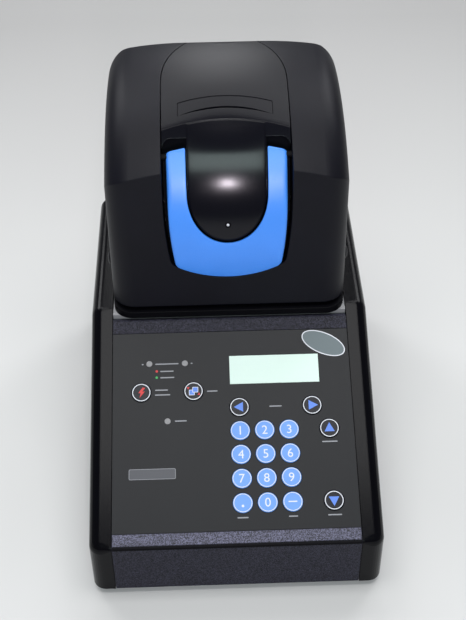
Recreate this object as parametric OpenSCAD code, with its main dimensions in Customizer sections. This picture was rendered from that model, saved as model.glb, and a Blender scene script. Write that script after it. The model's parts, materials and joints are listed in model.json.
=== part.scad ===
/* [Chassis] */
// overall width of the chassis
chassis_w = 243; // [236:1:256]
// overall depth of the chassis
chassis_d = 360; // [356:1:372]
// height of the front edge of the sloped panel
front_edge_z = 60; // [56:1:64]
// height of the flat top of the side panels
top_z = 151; // [148:1:156]
// slope of the control panel in degrees
panel_tilt = 25.4; // [24.6:0.2:26.2]
// width of each moulded side panel
cheek_w = 19; // [17:1:22]
// edge radius of the moulded side panels
cheek_r = 11; // [8:1:12]
// height of the rubber feet
foot_h = 6; // [4:1:9]
// sheet thickness of the pan, deck and rear panel
sheet = 2.4; // [1.6:0.2:2.8]

/* [Control panel] */
// diameter of the keys
key_d = 16.6; // [14:0.2:17.4]
// pitch of the number keys
key_pitch = 20.65; // [20:0.05:21.5]
// height of a key above the overlay when released
key_proud = 0.8; // [0.4:0.1:1.4]
// travel of a key
key_travel = 0.5; // [0.3:0.1:0.6]
// width of the display window
display_w = 77.4; // [70:0.2:80]
// height of the display window
display_h = 26.1; // [22:0.1:30]

/* [Block unit] */
// pitch of the sample wells
well_pitch = 9; // [8.8:0.1:9]
// number of well columns
well_cols = 12; // [8:1:12]
// number of well rows
well_rows = 8; // [4:1:8]
// mouth diameter of a well
well_d = 6.4; // [5:0.2:7]
// depth of a well
well_depth = 15; // [10:0.5:16]
// number of heat sink fins
fin_n = 22; // [12:1:26]

/* [Lid] */
// height of the lid above its lower edge
lid_h = 169; // [164:1:176]
// profile radius of the top, front to back
top_arc_r = 215; // [205:1:225]
// crown radius of the top, side to side
crown_r = 420; // [380:5:480]
// backward lean of the front faces in degrees
lid_lean = 5.2; // [4:0.2:6]
// wall of the hood
hood_wall = 3; // [2:0.5:4]
// profile radius of the tongue and handle
dome_r = 154; // [150:1:158]
// half width of the blue handle
handle_half = 49.5; // [47:0.5:50]
// thickness of the blue handle
handle_t = 7; // [5:0.5:8]

/* [Hidden] */
$fn = 64;

// shared clearances
seam = 0.4;
gap = 0.3;
fit = 0.05;
far = 500;
eps = 0.01;

// chassis layout
half_w = chassis_w / 2;
half_d = chassis_d / 2;
center_half = half_w - cheek_w;
inner_half = center_half - seam;
pan_z = foot_h + 3;
pan_top = pan_z + sheet;
deck_top = top_z - 3;
deck_under = deck_top - sheet;
panel_rise = top_z - front_edge_z;
panel_len = panel_rise / sin(panel_tilt);
bend_y = -half_d + panel_rise / tan(panel_tilt);
rear_face = half_d - 8;
rear_front = rear_face - sheet;
cheek_wall = 3;
cheek_seam_r = 4;

// sloped panel layout, measured up the slope from the front edge; places across follow the width
layout_half = 102.1;
panel_fit = inner_half / layout_half;
front_bar = 12.4;
overlay_end = panel_len - 24.5;
cover_end = panel_len - 14;
overlay_recess = 2.2;
overlay_sink = 0.3;
cover_t = overlay_recess + sheet;
bend_r = 4;
lip_r = 5;
lip_drop = 22;
arc_n = 10;
key_x0 = 5.8 * panel_fit;
key_s0 = 35.4;
arrow_side_x = 81.2 * panel_fit;
arrow_right_x = 67.8 * panel_fit;
arrow_row = 118;
arrow_up_row = 97.3;
run_x = -77.5 * panel_fit;
block_x = -32.9 * panel_fit;
func_row = 133.3;
display_x = 36.9 * panel_fit;
display_s = 151.8;
display_ledge = 2;
light_d = 5.2;
light_proud = 0.4;
lights = [[-70.5 * panel_fit, 159.1], [-39.9 * panel_fit, 158.9], [-55.4 * panel_fit, 107.3]];

// keys
cap_t = 1.7;
key_top = key_proud - overlay_sink;
cap_under = key_top - cap_t;
cap_edge = 0.5;
key_hole_d = key_d + 0.9;
stem_d = 5.9;
stem_end = -7.2;
board_top = -10.4;
board_t = 1.6;
switch_top = stem_end - key_travel - gap;
switch_w = 6.2;

// lid layout
lid_half = center_half - 1;
lid_z = top_z + 7.5;
lid_front = bend_y - 7.6;
lid_back = half_d - 2;
peak_z = lid_z + lid_h;
peak_in = 126;
peak_y = lid_front + peak_in;
arc_z = peak_z - top_arc_r;
corner_r = 26;
plan_r = 20;
back_r = 22;
form_over = 40;
back_run = lid_back - back_r - peak_y;
back_z = arc_z + sqrt(pow(top_arc_r - back_r, 2) - pow(back_run, 2));
crown_in = top_arc_r - crown_r;
corner_x = lid_half - corner_r;
corner_in = sqrt(pow(crown_r - corner_r, 2) - pow(corner_x, 2)) + crown_in;

// front recess, tongue and handle, measured down from the lid's peak or up from its lower edge
dome_down = 127.5;
side_down = 65.5;
inner_down = 59;
brow_down = 23.5;
arm_down = 27.8;
pivot_down = 35.5;
lamp_down = 86.4;
foot_up = 31.2;
dome_z = peak_z - dome_down;
dome_in = 2;
dome_y = lid_front + dome_in + dome_r;
groove = 0.8;
side_r = 365;
foot_r = 86;
foot_corner = 8;
side_c = [handle_half - side_r, peak_z - side_down];
foot_z = lid_z + foot_up;
foot_c = [0, foot_z + foot_r];
recess_side = 4;
recess_foot = 2.2;
recess_half = handle_half + recess_side;
inner_half_x = 33.6;
inner_z = peak_z - inner_down;
inner_drop = 43;
tongue_gap = 1;
brow_z = peak_z - brow_down;
brow_r = 7;
arm_top_z = peak_z - arm_down;
arm_r = 3.5;
handle_proud = 2.5;
relief_up = 0.5;
relief = 3;
floor_in = 14;
floor_t = 2.5;
floor_back = floor_in + floor_t;
recess_wall = 3;
stand_x = 40;
stand_w = 7;
stand_y = lid_front + 20.5;
stand_rise = 20.3;
stand_top = foot_z + stand_rise;
stand_head = 9;
ledge_in = 4;
ledge_out = 3;
ledge_t = 2;
ledge_bite = 0.5;
brow_back = lid_front + 70;
curve_n = 40;
arch_in = 101;
arch_y = lid_front + arch_in;
arch_r = 94.5;
arch_end = lid_back - 8;
pivot_z = peak_z - pivot_down;
pivot_mid_r = dome_r + handle_proud - handle_t / 2;
pivot_y = dome_y - sqrt(pow(pivot_mid_r, 2) - pow(pivot_z - dome_z, 2));
pivot_d = 6;

// badge recess and lamp on the cover
badge_half = 39.3;
badge_y0 = lid_front + 63.6;
badge_len = 13.8;
badge_bow = 150;
badge_deep = 2;
badge_in = 0.4;
badge_edge = 0.3;
badge_reach = 30;
badge_slot = 2.4;
badge_sag = badge_bow - sqrt(pow(badge_bow, 2) - pow(badge_half, 2)) + badge_slot;
slot_bow = (pow(badge_half, 2) + pow(badge_sag, 2)) / (2 * badge_sag);
lamp_d = 3.2;
lamp_reach = 20;
lamp_proud = 0.4;
lamp_z = peak_z - lamp_down;
lamp_y = dome_y - sqrt(pow(dome_r, 2) - pow(lamp_z - dome_z, 2));
lamp_tilt = asin((lamp_z - dome_z) / dome_r);

// hinge
hinge_y = lid_back - 11;
hinge_z = lid_z + 5.5;
hinge_d = 6;
ear_r = 8;
ear_x = 72;
ear_w = 8;
lug_w = 8.5;
lug_gap = 1.5;
lug_r = 7.5;
rear_cut_z = hinge_z + 10;
rear_cut_y = hinge_y - 15;

// block unit layout
block_in = 78;
block_y = lid_front + block_in;
plateau_z = top_z + 3.5;
flange_z = deck_top + 2.5;
rim_out = 3;
unit_front = lid_front - rim_out;
unit_rear = lid_back - 6;
unit_half = lid_half - 0.5;
unit_r = 17;
block_margin = 4;
block_w = well_cols * well_pitch + 2 * block_margin;
block_d = well_rows * well_pitch + 2 * block_margin;
block_h = 20;
block_top = plateau_z - 1;
block_bottom = block_top - block_h;
seal_w = 4.5;
seal_h = 4;
mouth_w = block_w + 2 * seal_w;
mouth_d = block_d + 2 * seal_w;
module_h = 3.8;
module_w = 34;
module_d = 36;
sink_top = block_bottom - module_h;
sink_w = 150;
sink_base = 10;
fin_t = 1.8;
fin_bottom = pan_top + 40;
bay_half = 84;
bay_lip = 8;
slot_side = 3;
slot_in = 8;
slot_len = 22;
slot_front = lid_front + slot_in;
slot_rear = slot_front + slot_len;
bay_front = slot_front;
bay_rear = hinge_y - 14;
wall_x = inner_half - 6;

// latch
slot_half = 13;
strike_half = 20;
strike_t = 2;
lever_half = 10;
lever_y = lid_front + 22;
lever_z = lid_z + 16;
lever_t = 5;
nose_y = slot_front + strike_t + 1.6;
nose_w = 4;
nose_z = deck_top + 1.5;
lever_foot_z = lid_z + 2.5;
trunnion_d = 6;
lug_post = 5;

// lid inside
liner_z = lid_z + 7.5;
liner_t = 3;
liner_top = liner_z + liner_t;
liner_half = lid_half - hood_wall;
liner_front = lid_front + 7;
liner_rear = hinge_y - 9;
shelf_y = rear_cut_y - liner_t;
shelf_z = rear_cut_z;
plate_w = block_w + 4;
plate_d = block_d + 4;
plate_gap = 0.6;
plate_bottom = plateau_z + 8.2;
plate_flange = 7;
plate_flange_t = 3;
post_d = 4;
post_inset = 3;
post_h = 14;
post_x = plate_w / 2 + plate_flange - post_inset;
post_y = plate_d / 2 + plate_flange - post_inset;
optic_d = 4;
frame_x = max(plate_w / 2 + plate_flange + 3, 70);
frame_t = 4;
frame_half_d = 42;
frame_h = 66;
rail_d = 8;
rail_z = liner_top + 46;
rail_y = 27;
screw_d = 6;
shuttle_w = 36;
shuttle_half_d = 36;
shuttle_bottom = liner_top + 12;
shuttle_top = rail_z + 14;
lens_d = 11;
lens_drop = 5;
motor_w = 35;
motor_clear = 2.5;
motor_len = liner_half - motor_clear - frame_x - frame_t;

// rear fittings
fan_side = 7.7;
fan_mid = 6;
fan_w = wall_x - sheet - fan_side - fan_mid;
fan_t = 25;
sink_clear = 3.5;
sink_fore = 59;
sink_front = block_y - sink_fore;
sink_rear = rear_front - fan_t - sink_clear;
fan_plate = 3.5;
fan_x = fan_mid + fan_w / 2;
fan_z = pan_top + 8 + fan_w / 2;
fan_rim = 1.6;
fan_bore_r = fan_w / 2 - fan_rim;
hub_r = 17;
blade_r = fan_bore_r - fan_rim;
blade_n = 7;
blade_t = 1.3;
blade_pitch = 38;
blade_chord = 19;
axle_d = 4;
guard_in = 6;
guard_r = fan_w / 2 - guard_in;
guard_hole = 8.4;
guard_pitch = 10;
inlet_side = 2.7;
inlet_z = (fan_z + fan_w / 2 + deck_under) / 2;
inlet_w = 58;
inlet_x = -(wall_x - sheet - inlet_side - inlet_w / 2);
inlet_h = 25;
inlet_lip = 2;
socket_w = 24;
socket_h = 16.5;
socket_depth = 17;
socket_dx = -12;
rocker_dx = 17;
rocker_w = 13;
rocker_h = 19;
rocker_tilt = 7;
rocker_pin = 2;
rocker_y = rear_face - 3;
port_x = -inlet_x;

// a point list along an arc, for profiles in the side view
function arc(cy, cz, r, a0, a1) =
  [for (i = [0 : arc_n])
    let (a = a0 + (a1 - a0) * i / arc_n)
    [cy + r * cos(a), cz + r * sin(a)]];

// a point on the sloped panel in the side view
function slope_pt(s, n) =
  [-half_d + s * cos(panel_tilt) - n * sin(panel_tilt),
    front_edge_z + s * sin(panel_tilt) + n * cos(panel_tilt)];

// lower half of an ellipse, from the right side round to the left
function bow(hx, zc, drop) =
  [for (i = [0 : curve_n])
    let (a = 180 * i / curve_n)
    [hx * cos(a), zc - drop * sin(a)]];

// the lower right point at two given distances from the side's and the foot's arc centres
function corner_at(from_side, from_foot) =
  let (
    d = norm(foot_c - side_c),
    u = (foot_c - side_c) / d,
    a = (from_side * from_side - from_foot * from_foot + d * d) / (2 * d),
    h = sqrt(from_side * from_side - a * a))
  side_c + a * u + h * [u[1], -u[0]];

function mirrored(pts) =
  [for (i = [len(pts) - 1 : -1 : 0])
    [-pts[i][0], pts[i][1]]];

// points along an arc, without its end
function bend(c, r, a0, a1) =
  [for (i = [0 : arc_n - 1])
    let (a = a0 + (a1 - a0) * i / arc_n)
    c + r * [cos(a), sin(a)]];

// a shield: arched sides and foot with rounded corners, grown by so much, below the given crest points
function shield(grow_side, grow_foot, crest) =
  let (
    rs = side_r + grow_side,
    rf = foot_r + grow_foot,
    rc = foot_corner + grow_foot,
    c = corner_at(rs - rc, rf - rc),
    a_side = atan2(c[1] - side_c[1], c[0] - side_c[0]),
    a_foot = atan2(c[1] - foot_c[1], c[0] - foot_c[0]),
    right = concat(crest, bend(side_c, rs, 0, a_side), bend(c, rc, a_side, a_foot),
      bend(foot_c, rf, a_foot, -90)))
  concat(right, [[0, foot_c[1] - rf]], mirrored(right));

module on_panel() {
  translate([0, -half_d, front_edge_z])
    rotate([panel_tilt, 0, 0])
      children();
}

// extrudes a side view outline across the width
module across(half) {
  rotate([90, 0, 90])
    translate([0, 0, -half])
      linear_extrude(2 * half)
        children();
}

// extrudes a front view outline from one depth to another
module deep(y0, y1) {
  translate([0, y1, 0])
    rotate([90, 0, 0])
      linear_extrude(y1 - y0)
        children();
}

module mirror_x() {
  children();
  mirror([1, 0, 0])
    children();
}

module rod(x0, x1, y, z, d) {
  translate([x0, y, z])
    rotate([0, 90, 0])
      cylinder(d = d, h = x1 - x0);
}

module box(x0, x1, y0, y1, z0, z1) {
  translate([x0, y0, z0])
    cube([x1 - x0, y1 - y0, z1 - z0]);
}

module round_plan(half, y0, y1, r) {
  translate([0, y0 + r])
    translate([-half, 0])
      square([2 * half, y1 - y0 - 2 * r]);
  translate([-half + r, y0])
    square([2 * half - 2 * r, y1 - y0]);
  for (sx = [-1, 1])
    for (y = [y0 + r, y1 - r])
      translate([sx * (half - r), y])
        circle(r);
}

module plan_box(half, y0, y1, r, z0, z1) {
  translate([0, 0, z0])
    linear_extrude(z1 - z0)
      round_plan(half, y0, y1, r);
}

// moulded side panel

module cheek_ball(y, z, r) {
  translate([half_w - cheek_r, y, z])
    sphere(r, $fn = 32);
}

module cheek_disc(y, z, r) {
  translate([center_half - cheek_wall, y, z])
    rotate([0, 90, 0])
      cylinder(r = r, h = cheek_wall + 1, $fn = 32);
}

module cheek_form(inset) {
  r = cheek_r - inset;
  rs = cheek_seam_r - inset;
  lean = tan((90 - panel_tilt) / 2);
  turn = tan(panel_tilt / 2);
  intersection() {
    box(center_half - inset, far, -far, far, 0, far);
    hull() {
      for (y = [-half_d + cheek_r, half_d - cheek_r])
        translate([half_w - cheek_r, y, foot_h + inset])
          cylinder(r = r, h = 1, $fn = 32);
      for (y = [-half_d + cheek_r, half_d - cheek_r])
        translate([center_half - cheek_wall, y - r, foot_h + inset])
          cube([1, 2 * r, 1]);
      cheek_ball(-half_d + cheek_r, front_edge_z - cheek_r * lean, r);
      cheek_ball(bend_y + cheek_r * turn, top_z - cheek_r, r);
      cheek_ball(half_d - cheek_r, top_z - cheek_r, r);
      cheek_disc(-half_d + cheek_seam_r, front_edge_z - cheek_seam_r * lean, rs);
      cheek_disc(bend_y + cheek_seam_r * turn, top_z - cheek_seam_r, rs);
      cheek_disc(half_d - cheek_seam_r, top_z - cheek_seam_r, rs);
    }
  }
}

module right_side_panel() {
  color("dimgray")
    difference() {
      cheek_form(0);
      cheek_form(cheek_wall);
    }
}

module left_side_panel() {
  mirror([1, 0, 0])
    right_side_panel();
}

// chassis sheet parts

module base_pan() {
  slots = 9;
  slot_pitch = 9;
  slot_w = 4;
  slot_l = 70;
  color("gray")
    difference() {
      box(-half_w + cheek_r, half_w - cheek_r, -half_d + cheek_wall + gap, rear_face + 4, pan_z, pan_top);
      for (i = [0 : slots - 1])
        translate([-slot_l / 2, block_y + (i - (slots - 1) / 2) * slot_pitch - slot_w / 2, pan_z - 1])
          cube([slot_l, slot_w, sheet + 2]);
    }
}

module cover_profile() {
  lean = tan((90 - panel_tilt) / 2);
  flange = 22;
  y_in = -half_d + sheet;
  lip_c = slope_pt(cover_end, -lip_r);
  inner_c = slope_pt(cover_end, -cover_t);
  lip_y = lip_c[0] + lip_r;
  lip_z = lip_c[1] - lip_drop;
  knee_s = (sheet + cover_t * sin(panel_tilt)) / cos(panel_tilt);
  polygon(concat(
    [[-half_d + flange, pan_z - sheet], [-half_d, pan_z - sheet]],
    arc(-half_d + bend_r, front_edge_z - bend_r * lean, bend_r, 180, 90 + panel_tilt),
    [slope_pt(front_bar, 0), slope_pt(front_bar, -overlay_recess)],
    [slope_pt(overlay_end, -overlay_recess), slope_pt(overlay_end, 0)],
    arc(lip_c[0], lip_c[1], lip_r, 90 + panel_tilt, 0),
    [[lip_y, lip_z], [lip_y - sheet, lip_z], [lip_y - sheet, inner_c[1]]],
    [inner_c, slope_pt(knee_s, -cover_t)],
    [[y_in, pan_z], [-half_d + flange, pan_z]]));
}

module key_places() {
  for (c = [0 : 2])
    for (r = [0 : 3])
      translate([key_x0 + c * key_pitch, key_s0 + r * key_pitch, 0])
        children();
  for (x = [key_x0, arrow_right_x])
    translate([x, arrow_row, 0])
      children();
  for (s = [arrow_up_row, key_s0])
    translate([arrow_side_x, s, 0])
      children();
  for (x = [run_x, block_x])
    translate([x, func_row, 0])
      children();
}

module light_places() {
  for (p = lights)
    translate([p[0], p[1], 0])
      children();
}

module front_cover() {
  color("dimgray")
    difference() {
      across(inner_half)
        cover_profile();
      on_panel() {
        key_places()
          translate([0, 0, -cover_t - 1])
            cylinder(d = stem_d + 2 * fit, h = cover_t + 2);
        light_places()
          translate([0, 0, -cover_t - 1])
            cylinder(d = light_d + gap, h = cover_t + 2);
        translate([display_x, display_s, -cover_t / 2])
          cube([display_w - 2 * display_ledge, display_h - 2 * display_ledge, cover_t + 4], center = true);
      }
    }
}

module bay_deck() {
  front = slope_pt(cover_end, -lip_r)[0] + lip_r;
  color("silver")
    difference() {
      union() {
        box(-inner_half, inner_half, front, rear_face + 4, deck_under, deck_top);
        box(-inner_half, inner_half, front, front + sheet, deck_top - lip_drop, deck_top);
        mirror_x()
          box(wall_x - sheet, wall_x, front + sheet + 8, rear_front, pan_top, deck_top);
      }
      box(-bay_half, bay_half, bay_front + bay_lip, bay_rear, deck_under - 1, deck_top + 1);
      box(-slot_half - slot_side, slot_half + slot_side, bay_front, bay_front + bay_lip + 1,
        deck_under - 1, deck_top + 1);
    }
}

module fan_places() {
  for (sx = [-1, 1])
    translate([sx * fan_x, 0, fan_z])
      children();
}

module guard_holes() {
  rows = 4;
  row_step = guard_pitch * sqrt(3) / 2;
  for (j = [-rows : rows])
    for (i = [-rows : rows]) {
      x = (i + (abs(j) % 2) / 2) * guard_pitch;
      z = j * row_step;
      if (norm([x, z]) < guard_r)
        translate([x, 0, z])
          rotate([90, 0, 0])
            cylinder(d = guard_hole, h = 4 * sheet, center = true);
    }
}

module rear_panel() {
  port_w = 20;
  port_h = 11;
  color("silver")
    difference() {
      box(-inner_half, inner_half, rear_front, rear_face, pan_top, deck_under);
      fan_places()
        translate([0, rear_face, 0])
          guard_holes();
      box(inlet_x - inlet_w / 2 + 2, inlet_x + inlet_w / 2 - 2, rear_front - 1, rear_face + 1,
        inlet_z - inlet_h / 2 + 2, inlet_z + inlet_h / 2 - 2);
      box(port_x - port_w / 2, port_x + port_w / 2, rear_front - 1, rear_face + 1,
        inlet_z - port_h / 2, inlet_z + port_h / 2);
    }
}

// control panel parts

module keypad_overlay() {
  len = overlay_end - front_bar - 2 * gap;
  t = overlay_recess - overlay_sink;
  color("black")
    on_panel()
      difference() {
        translate([-inner_half, front_bar + gap, -overlay_recess])
          cube([2 * inner_half, len, t]);
        key_places()
          translate([0, 0, -overlay_recess - 1])
            cylinder(d = key_hole_d, h = t + 2);
        light_places()
          translate([0, 0, -overlay_recess - 1])
            cylinder(d = light_d + gap, h = t + 2);
        translate([display_x, display_s, -overlay_recess])
          cube([display_w, display_h, 2 * t + 4], center = true);
      }
}

module display_lens() {
  t = 1.6;
  color("honeydew")
    on_panel()
      translate([display_x - display_w / 2 + gap, display_s - display_h / 2 + gap, -overlay_recess])
        cube([display_w - 2 * gap, display_h - 2 * gap, t]);
}

module display_module() {
  bezel_w = 87;
  bezel_d = 42;
  bezel_h = 5;
  card_w = 98;
  card_d = 60;
  glass_in = 1.4;
  color("darkgreen")
    on_panel()
      translate([display_x, display_s, -cover_t]) {
        difference() {
          translate([-bezel_w / 2, -bezel_d / 2, -bezel_h])
            cube([bezel_w, bezel_d, bezel_h]);
          cube([display_w - 1, display_h - 1, 2 * glass_in], center = true);
        }
        translate([-card_w / 2, -card_d / 2 + 6, -bezel_h - board_t])
          cube([card_w, card_d - 12, board_t]);
      }
}

module keypad_board() {
  board_w = 190;
  board_s0 = 22;
  board_s1 = 126.5;
  wing_x = -15;
  wing_up = 34;
  spacer_d = 6;
  spacer_in = 6;
  color("darkgreen")
    on_panel() {
      translate([-board_w / 2, board_s0, board_top - board_t])
        cube([board_w, board_s1 - board_s0, board_t]);
      translate([-board_w / 2, board_s1 - eps, board_top - board_t])
        cube([board_w / 2 + wing_x, func_row - board_s1 + wing_up, board_t]);
      key_places()
        translate([-switch_w / 2, -switch_w / 2, board_top - eps])
          cube([switch_w, switch_w, switch_top - board_top + eps]);
      for (x = [-board_w / 2 + spacer_in, board_w / 2 - spacer_in])
        for (s = [board_s0 + spacer_in, board_s1 - spacer_in])
          translate([x, s, board_top - eps])
            cylinder(d = spacer_d, h = -cover_t - board_top + eps);
    }
}

module status_lights() {
  color("lightgray")
    on_panel()
      light_places()
        translate([0, 0, board_top])
          cylinder(d = light_d, h = light_proud - overlay_sink - board_top);
}

module key(x, s) {
  color("lightskyblue")
    on_panel()
      translate([x, s, 0]) {
        translate([0, 0, cap_under])
          cylinder(d = key_d, h = cap_t - cap_edge);
        translate([0, 0, key_top - cap_edge])
          cylinder(d1 = key_d, d2 = key_d - 2 * cap_edge, h = cap_edge);
        translate([0, 0, stem_end])
          cylinder(d = stem_d, h = cap_under - stem_end + eps);
      }
}

module number_key(col, row) {
  key(key_x0 + col * key_pitch, key_s0 + row * key_pitch);
}

// inner electronics

module control_board() {
  board_w = 170;
  board_d = 100;
  lift = 8;
  y0 = -half_d + 18;
  chip_w = 28;
  chip_h = 4;
  post = 6;
  post_in = 6;
  relay_w = 18;
  relay_h = 16;
  color("darkgreen") {
    box(-board_w / 2, board_w / 2, y0, y0 + board_d, pan_top + lift, pan_top + lift + board_t);
    for (x = [-board_w / 2 + post_in, board_w / 2 - post_in])
      for (y = [y0 + post_in, y0 + board_d - post_in])
        translate([x, y, pan_top])
          cylinder(d = post, h = lift + eps);
    for (i = [-1 : 1])
      translate([i * 2 * chip_w - chip_w / 2, y0 + 14, pan_top + lift + board_t - eps])
        cube([chip_w, chip_w, chip_h]);
    for (i = [-2 : 2])
      translate([i * 1.5 * relay_w - relay_w / 2, y0 + 64, pan_top + lift + board_t - eps])
        cube([relay_w, relay_w, relay_h]);
  }
}

module power_supply() {
  w = 170;
  d = 56;
  h = 48;
  y1 = slope_pt(cover_end, 0)[0];
  vents = 10;
  vent_w = 3;
  color("silver")
    difference() {
      box(-w / 2, w / 2, y1 - d, y1, pan_top, pan_top + h);
      for (i = [0 : vents - 1])
        translate([-w / 4 + i * 3 * vent_w, y1 - d - 1, pan_top + h / 4])
          cube([vent_w, 4, h / 2]);
    }
}

// rear fittings

module fan_frames() {
  strut = 5;
  color("black")
    fan_places()
      translate([0, rear_front, 0])
        rotate([90, 0, 0]) {
          difference() {
            translate([-fan_w / 2, -fan_w / 2, 0])
              cube([fan_w, fan_w, fan_t]);
            translate([0, 0, -1])
              cylinder(r = fan_bore_r, h = fan_t + 2);
          }
          cylinder(r = hub_r, h = fan_plate);
          for (a = [45 : 90 : 315])
            rotate([0, 0, a])
              translate([hub_r - 1, -strut / 2, 0])
                cube([fan_bore_r - hub_r + 2, strut, fan_plate]);
          cylinder(d = axle_d, h = fan_t - 5);
        }
}

module fan_rotor(sx) {
  clear = 1.2;
  base = fan_plate + clear;
  top = fan_t - 1;
  cap_t = 3;
  mid = (base + top) / 2;
  color("dimgray")
    translate([sx * fan_x, rear_front, fan_z])
      rotate([90, 0, 0])
        difference() {
          union() {
            translate([0, 0, base])
              cylinder(r = hub_r, h = top - base);
            intersection() {
              for (k = [0 : blade_n - 1])
                rotate([0, 0, k * 360 / blade_n])
                  translate([hub_r - 2, 0, mid])
                    rotate([blade_pitch, 0, 0])
                      translate([0, -blade_chord / 2, -blade_t / 2])
                        cube([blade_r, blade_chord, blade_t]);
              translate([0, 0, base])
                cylinder(r = blade_r, h = top - base);
            }
          }
          translate([0, 0, base - 1])
            cylinder(r = hub_r - 2, h = top - base - 2 * cap_t + 1);
          translate([0, 0, base - 1])
            cylinder(d = axle_d + 2 * fit, h = top - base - cap_t + 2);
        }
}

module power_inlet() {
  body_d = 24;
  pin_len = 11;
  pin_w = 2;
  pin_h = 4;
  pin_dx = 7;
  pin_dz = -2;
  earth_dz = 3;
  y_lip = rear_face + inlet_lip;
  wall = 1.4;
  color("black")
    translate([inlet_x, 0, inlet_z]) {
      difference() {
        union() {
          box(-inlet_w / 2, inlet_w / 2, rear_face, y_lip, -inlet_h / 2, inlet_h / 2);
          box(-inlet_w / 2 + 2 + gap, inlet_w / 2 - 2 - gap, rear_front - body_d, rear_face + eps,
            -inlet_h / 2 + 2 + gap, inlet_h / 2 - 2 - gap);
        }
        box(socket_dx - socket_w / 2, socket_dx + socket_w / 2, y_lip - socket_depth, y_lip + 1,
          -socket_h / 2, socket_h / 2);
        box(rocker_dx - rocker_w / 2 - wall / 2, rocker_dx + rocker_w / 2 + wall / 2, y_lip - 14, y_lip + 1,
          -rocker_h / 2 - wall / 2, rocker_h / 2 + wall / 2);
        rod(rocker_dx - rocker_w / 2 - 3, rocker_dx + rocker_w / 2 + 3, rocker_y, 0, rocker_pin + 2 * fit);
      }
      for (p = [[-pin_dx, pin_dz], [pin_dx, pin_dz], [0, earth_dz]])
        translate([socket_dx + p[0] - pin_w / 2, y_lip - socket_depth - eps, p[1] - pin_h / 2])
          cube([pin_w, pin_len, pin_h]);
    }
}

module power_rocker() {
  depth = 6;
  face = 1.6;
  color("dimgray")
    translate([inlet_x + rocker_dx, rocker_y, inlet_z])
      rotate([rocker_tilt, 0, 0]) {
        difference() {
          box(-rocker_w / 2, rocker_w / 2, -depth / 2, 3 + inlet_lip + face,
            -rocker_h / 2 + 1, rocker_h / 2 - 1);
          translate([0, 60 + 3 + inlet_lip, 0])
            rotate([0, 90, 0])
              cylinder(r = 60, h = rocker_w + 2, center = true, $fn = 96);
        }
        rod(-rocker_w / 2 - 2.4, rocker_w / 2 + 2.4, 0, 0, rocker_pin);
      }
}

module serial_port() {
  shell_w = 16;
  shell_h = 8;
  shell_out = 5;
  flange_w = 31;
  flange_h = 12.5;
  flange_t = 1.5;
  pin_pitch = 2.77;
  pin_row = 1.4;
  pin_d = 1;
  color("silver")
    translate([port_x, 0, inlet_z])
      difference() {
        union() {
          box(-flange_w / 2, flange_w / 2, rear_face, rear_face + flange_t, -flange_h / 2, flange_h / 2);
          box(-shell_w / 2, shell_w / 2, rear_front - 8, rear_face + shell_out, -shell_h / 2, shell_h / 2);
        }
        for (i = [0 : 4])
          translate([(i - 2) * pin_pitch, rear_face + shell_out, pin_row])
            rotate([90, 0, 0])
              cylinder(d = pin_d, h = 6, center = true);
        for (i = [0 : 3])
          translate([(i - 1.5) * pin_pitch, rear_face + shell_out, -pin_row])
            rotate([90, 0, 0])
              cylinder(d = pin_d, h = 6, center = true);
      }
}

module rubber_feet() {
  d0 = 22;
  d1 = 18;
  inset_x = 12;
  inset_y = 36;
  color("black")
    for (sx = [-1, 1])
      for (sy = [-1, 1])
        translate([sx * (inner_half - inset_x), sy * (half_d - inset_y), 0])
          cylinder(d1 = d1, d2 = d0, h = pan_z);
}

module chassis_screws() {
  head_d = 6;
  head_h = 2;
  in_x = 5;
  in_z = 6;
  color("silver")
    for (sx = [-1, 1])
      for (z = [pan_top + in_z, deck_under - in_z])
        translate([sx * (inner_half - in_x), rear_face + head_h, z])
          rotate([90, 0, 0])
            cylinder(d1 = head_d * 0.6, d2 = head_d, h = head_h);
}

// block unit

module unit_base() {
  color("black")
    difference() {
      union() {
        plan_box(unit_half, unit_front, unit_rear, unit_r, deck_top, flange_z);
        plan_box(unit_half, unit_front, bay_rear + 2, unit_r, deck_top, plateau_z);
        mirror_x() {
          box(ear_x, ear_x + ear_w, hinge_y - ear_r, hinge_y + ear_r, flange_z - 1, hinge_z);
          rod(ear_x, ear_x + ear_w, hinge_y, hinge_z, 2 * ear_r);
        }
      }
      box(-mouth_w / 2, mouth_w / 2, block_y - mouth_d / 2, block_y + mouth_d / 2,
        deck_top - 1, plateau_z + 1);
      box(-slot_half, slot_half, slot_front, slot_rear, deck_top - 1, plateau_z + 1);
      box(-strike_half - gap, strike_half + gap, slot_front, slot_front + strike_t,
        deck_top - 1, plateau_z + 1);
      mirror_x()
        rod(ear_x - 1, ear_x + ear_w + 1, hinge_y, hinge_z, hinge_d + 2 * fit);
    }
}

module well_places() {
  for (i = [0 : well_cols - 1])
    for (j = [0 : well_rows - 1])
      translate([(i - (well_cols - 1) / 2) * well_pitch, block_y + (j - (well_rows - 1) / 2) * well_pitch, 0])
        children();
}

module sample_block() {
  foot_out = 3;
  foot_t = 5;
  tip_d = 2.6;
  color("silver")
    difference() {
      union() {
        box(-block_w / 2, block_w / 2, block_y - block_d / 2, block_y + block_d / 2, block_bottom, block_top);
        box(-block_w / 2 - foot_out, block_w / 2 + foot_out, block_y - block_d / 2 - foot_out,
          block_y + block_d / 2 + foot_out, block_bottom, block_bottom + foot_t);
      }
      well_places()
        translate([0, 0, block_top - well_depth])
          cylinder(d1 = tip_d, d2 = well_d, h = well_depth + eps);
    }
}

module block_seal() {
  z1 = plateau_z - 0.5;
  color("dimgray")
    difference() {
      box(-mouth_w / 2, mouth_w / 2, block_y - mouth_d / 2, block_y + mouth_d / 2, z1 - seal_h, z1);
      box(-block_w / 2, block_w / 2, block_y - block_d / 2, block_y + block_d / 2, z1 - seal_h - 1, z1 + 1);
    }
}

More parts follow.
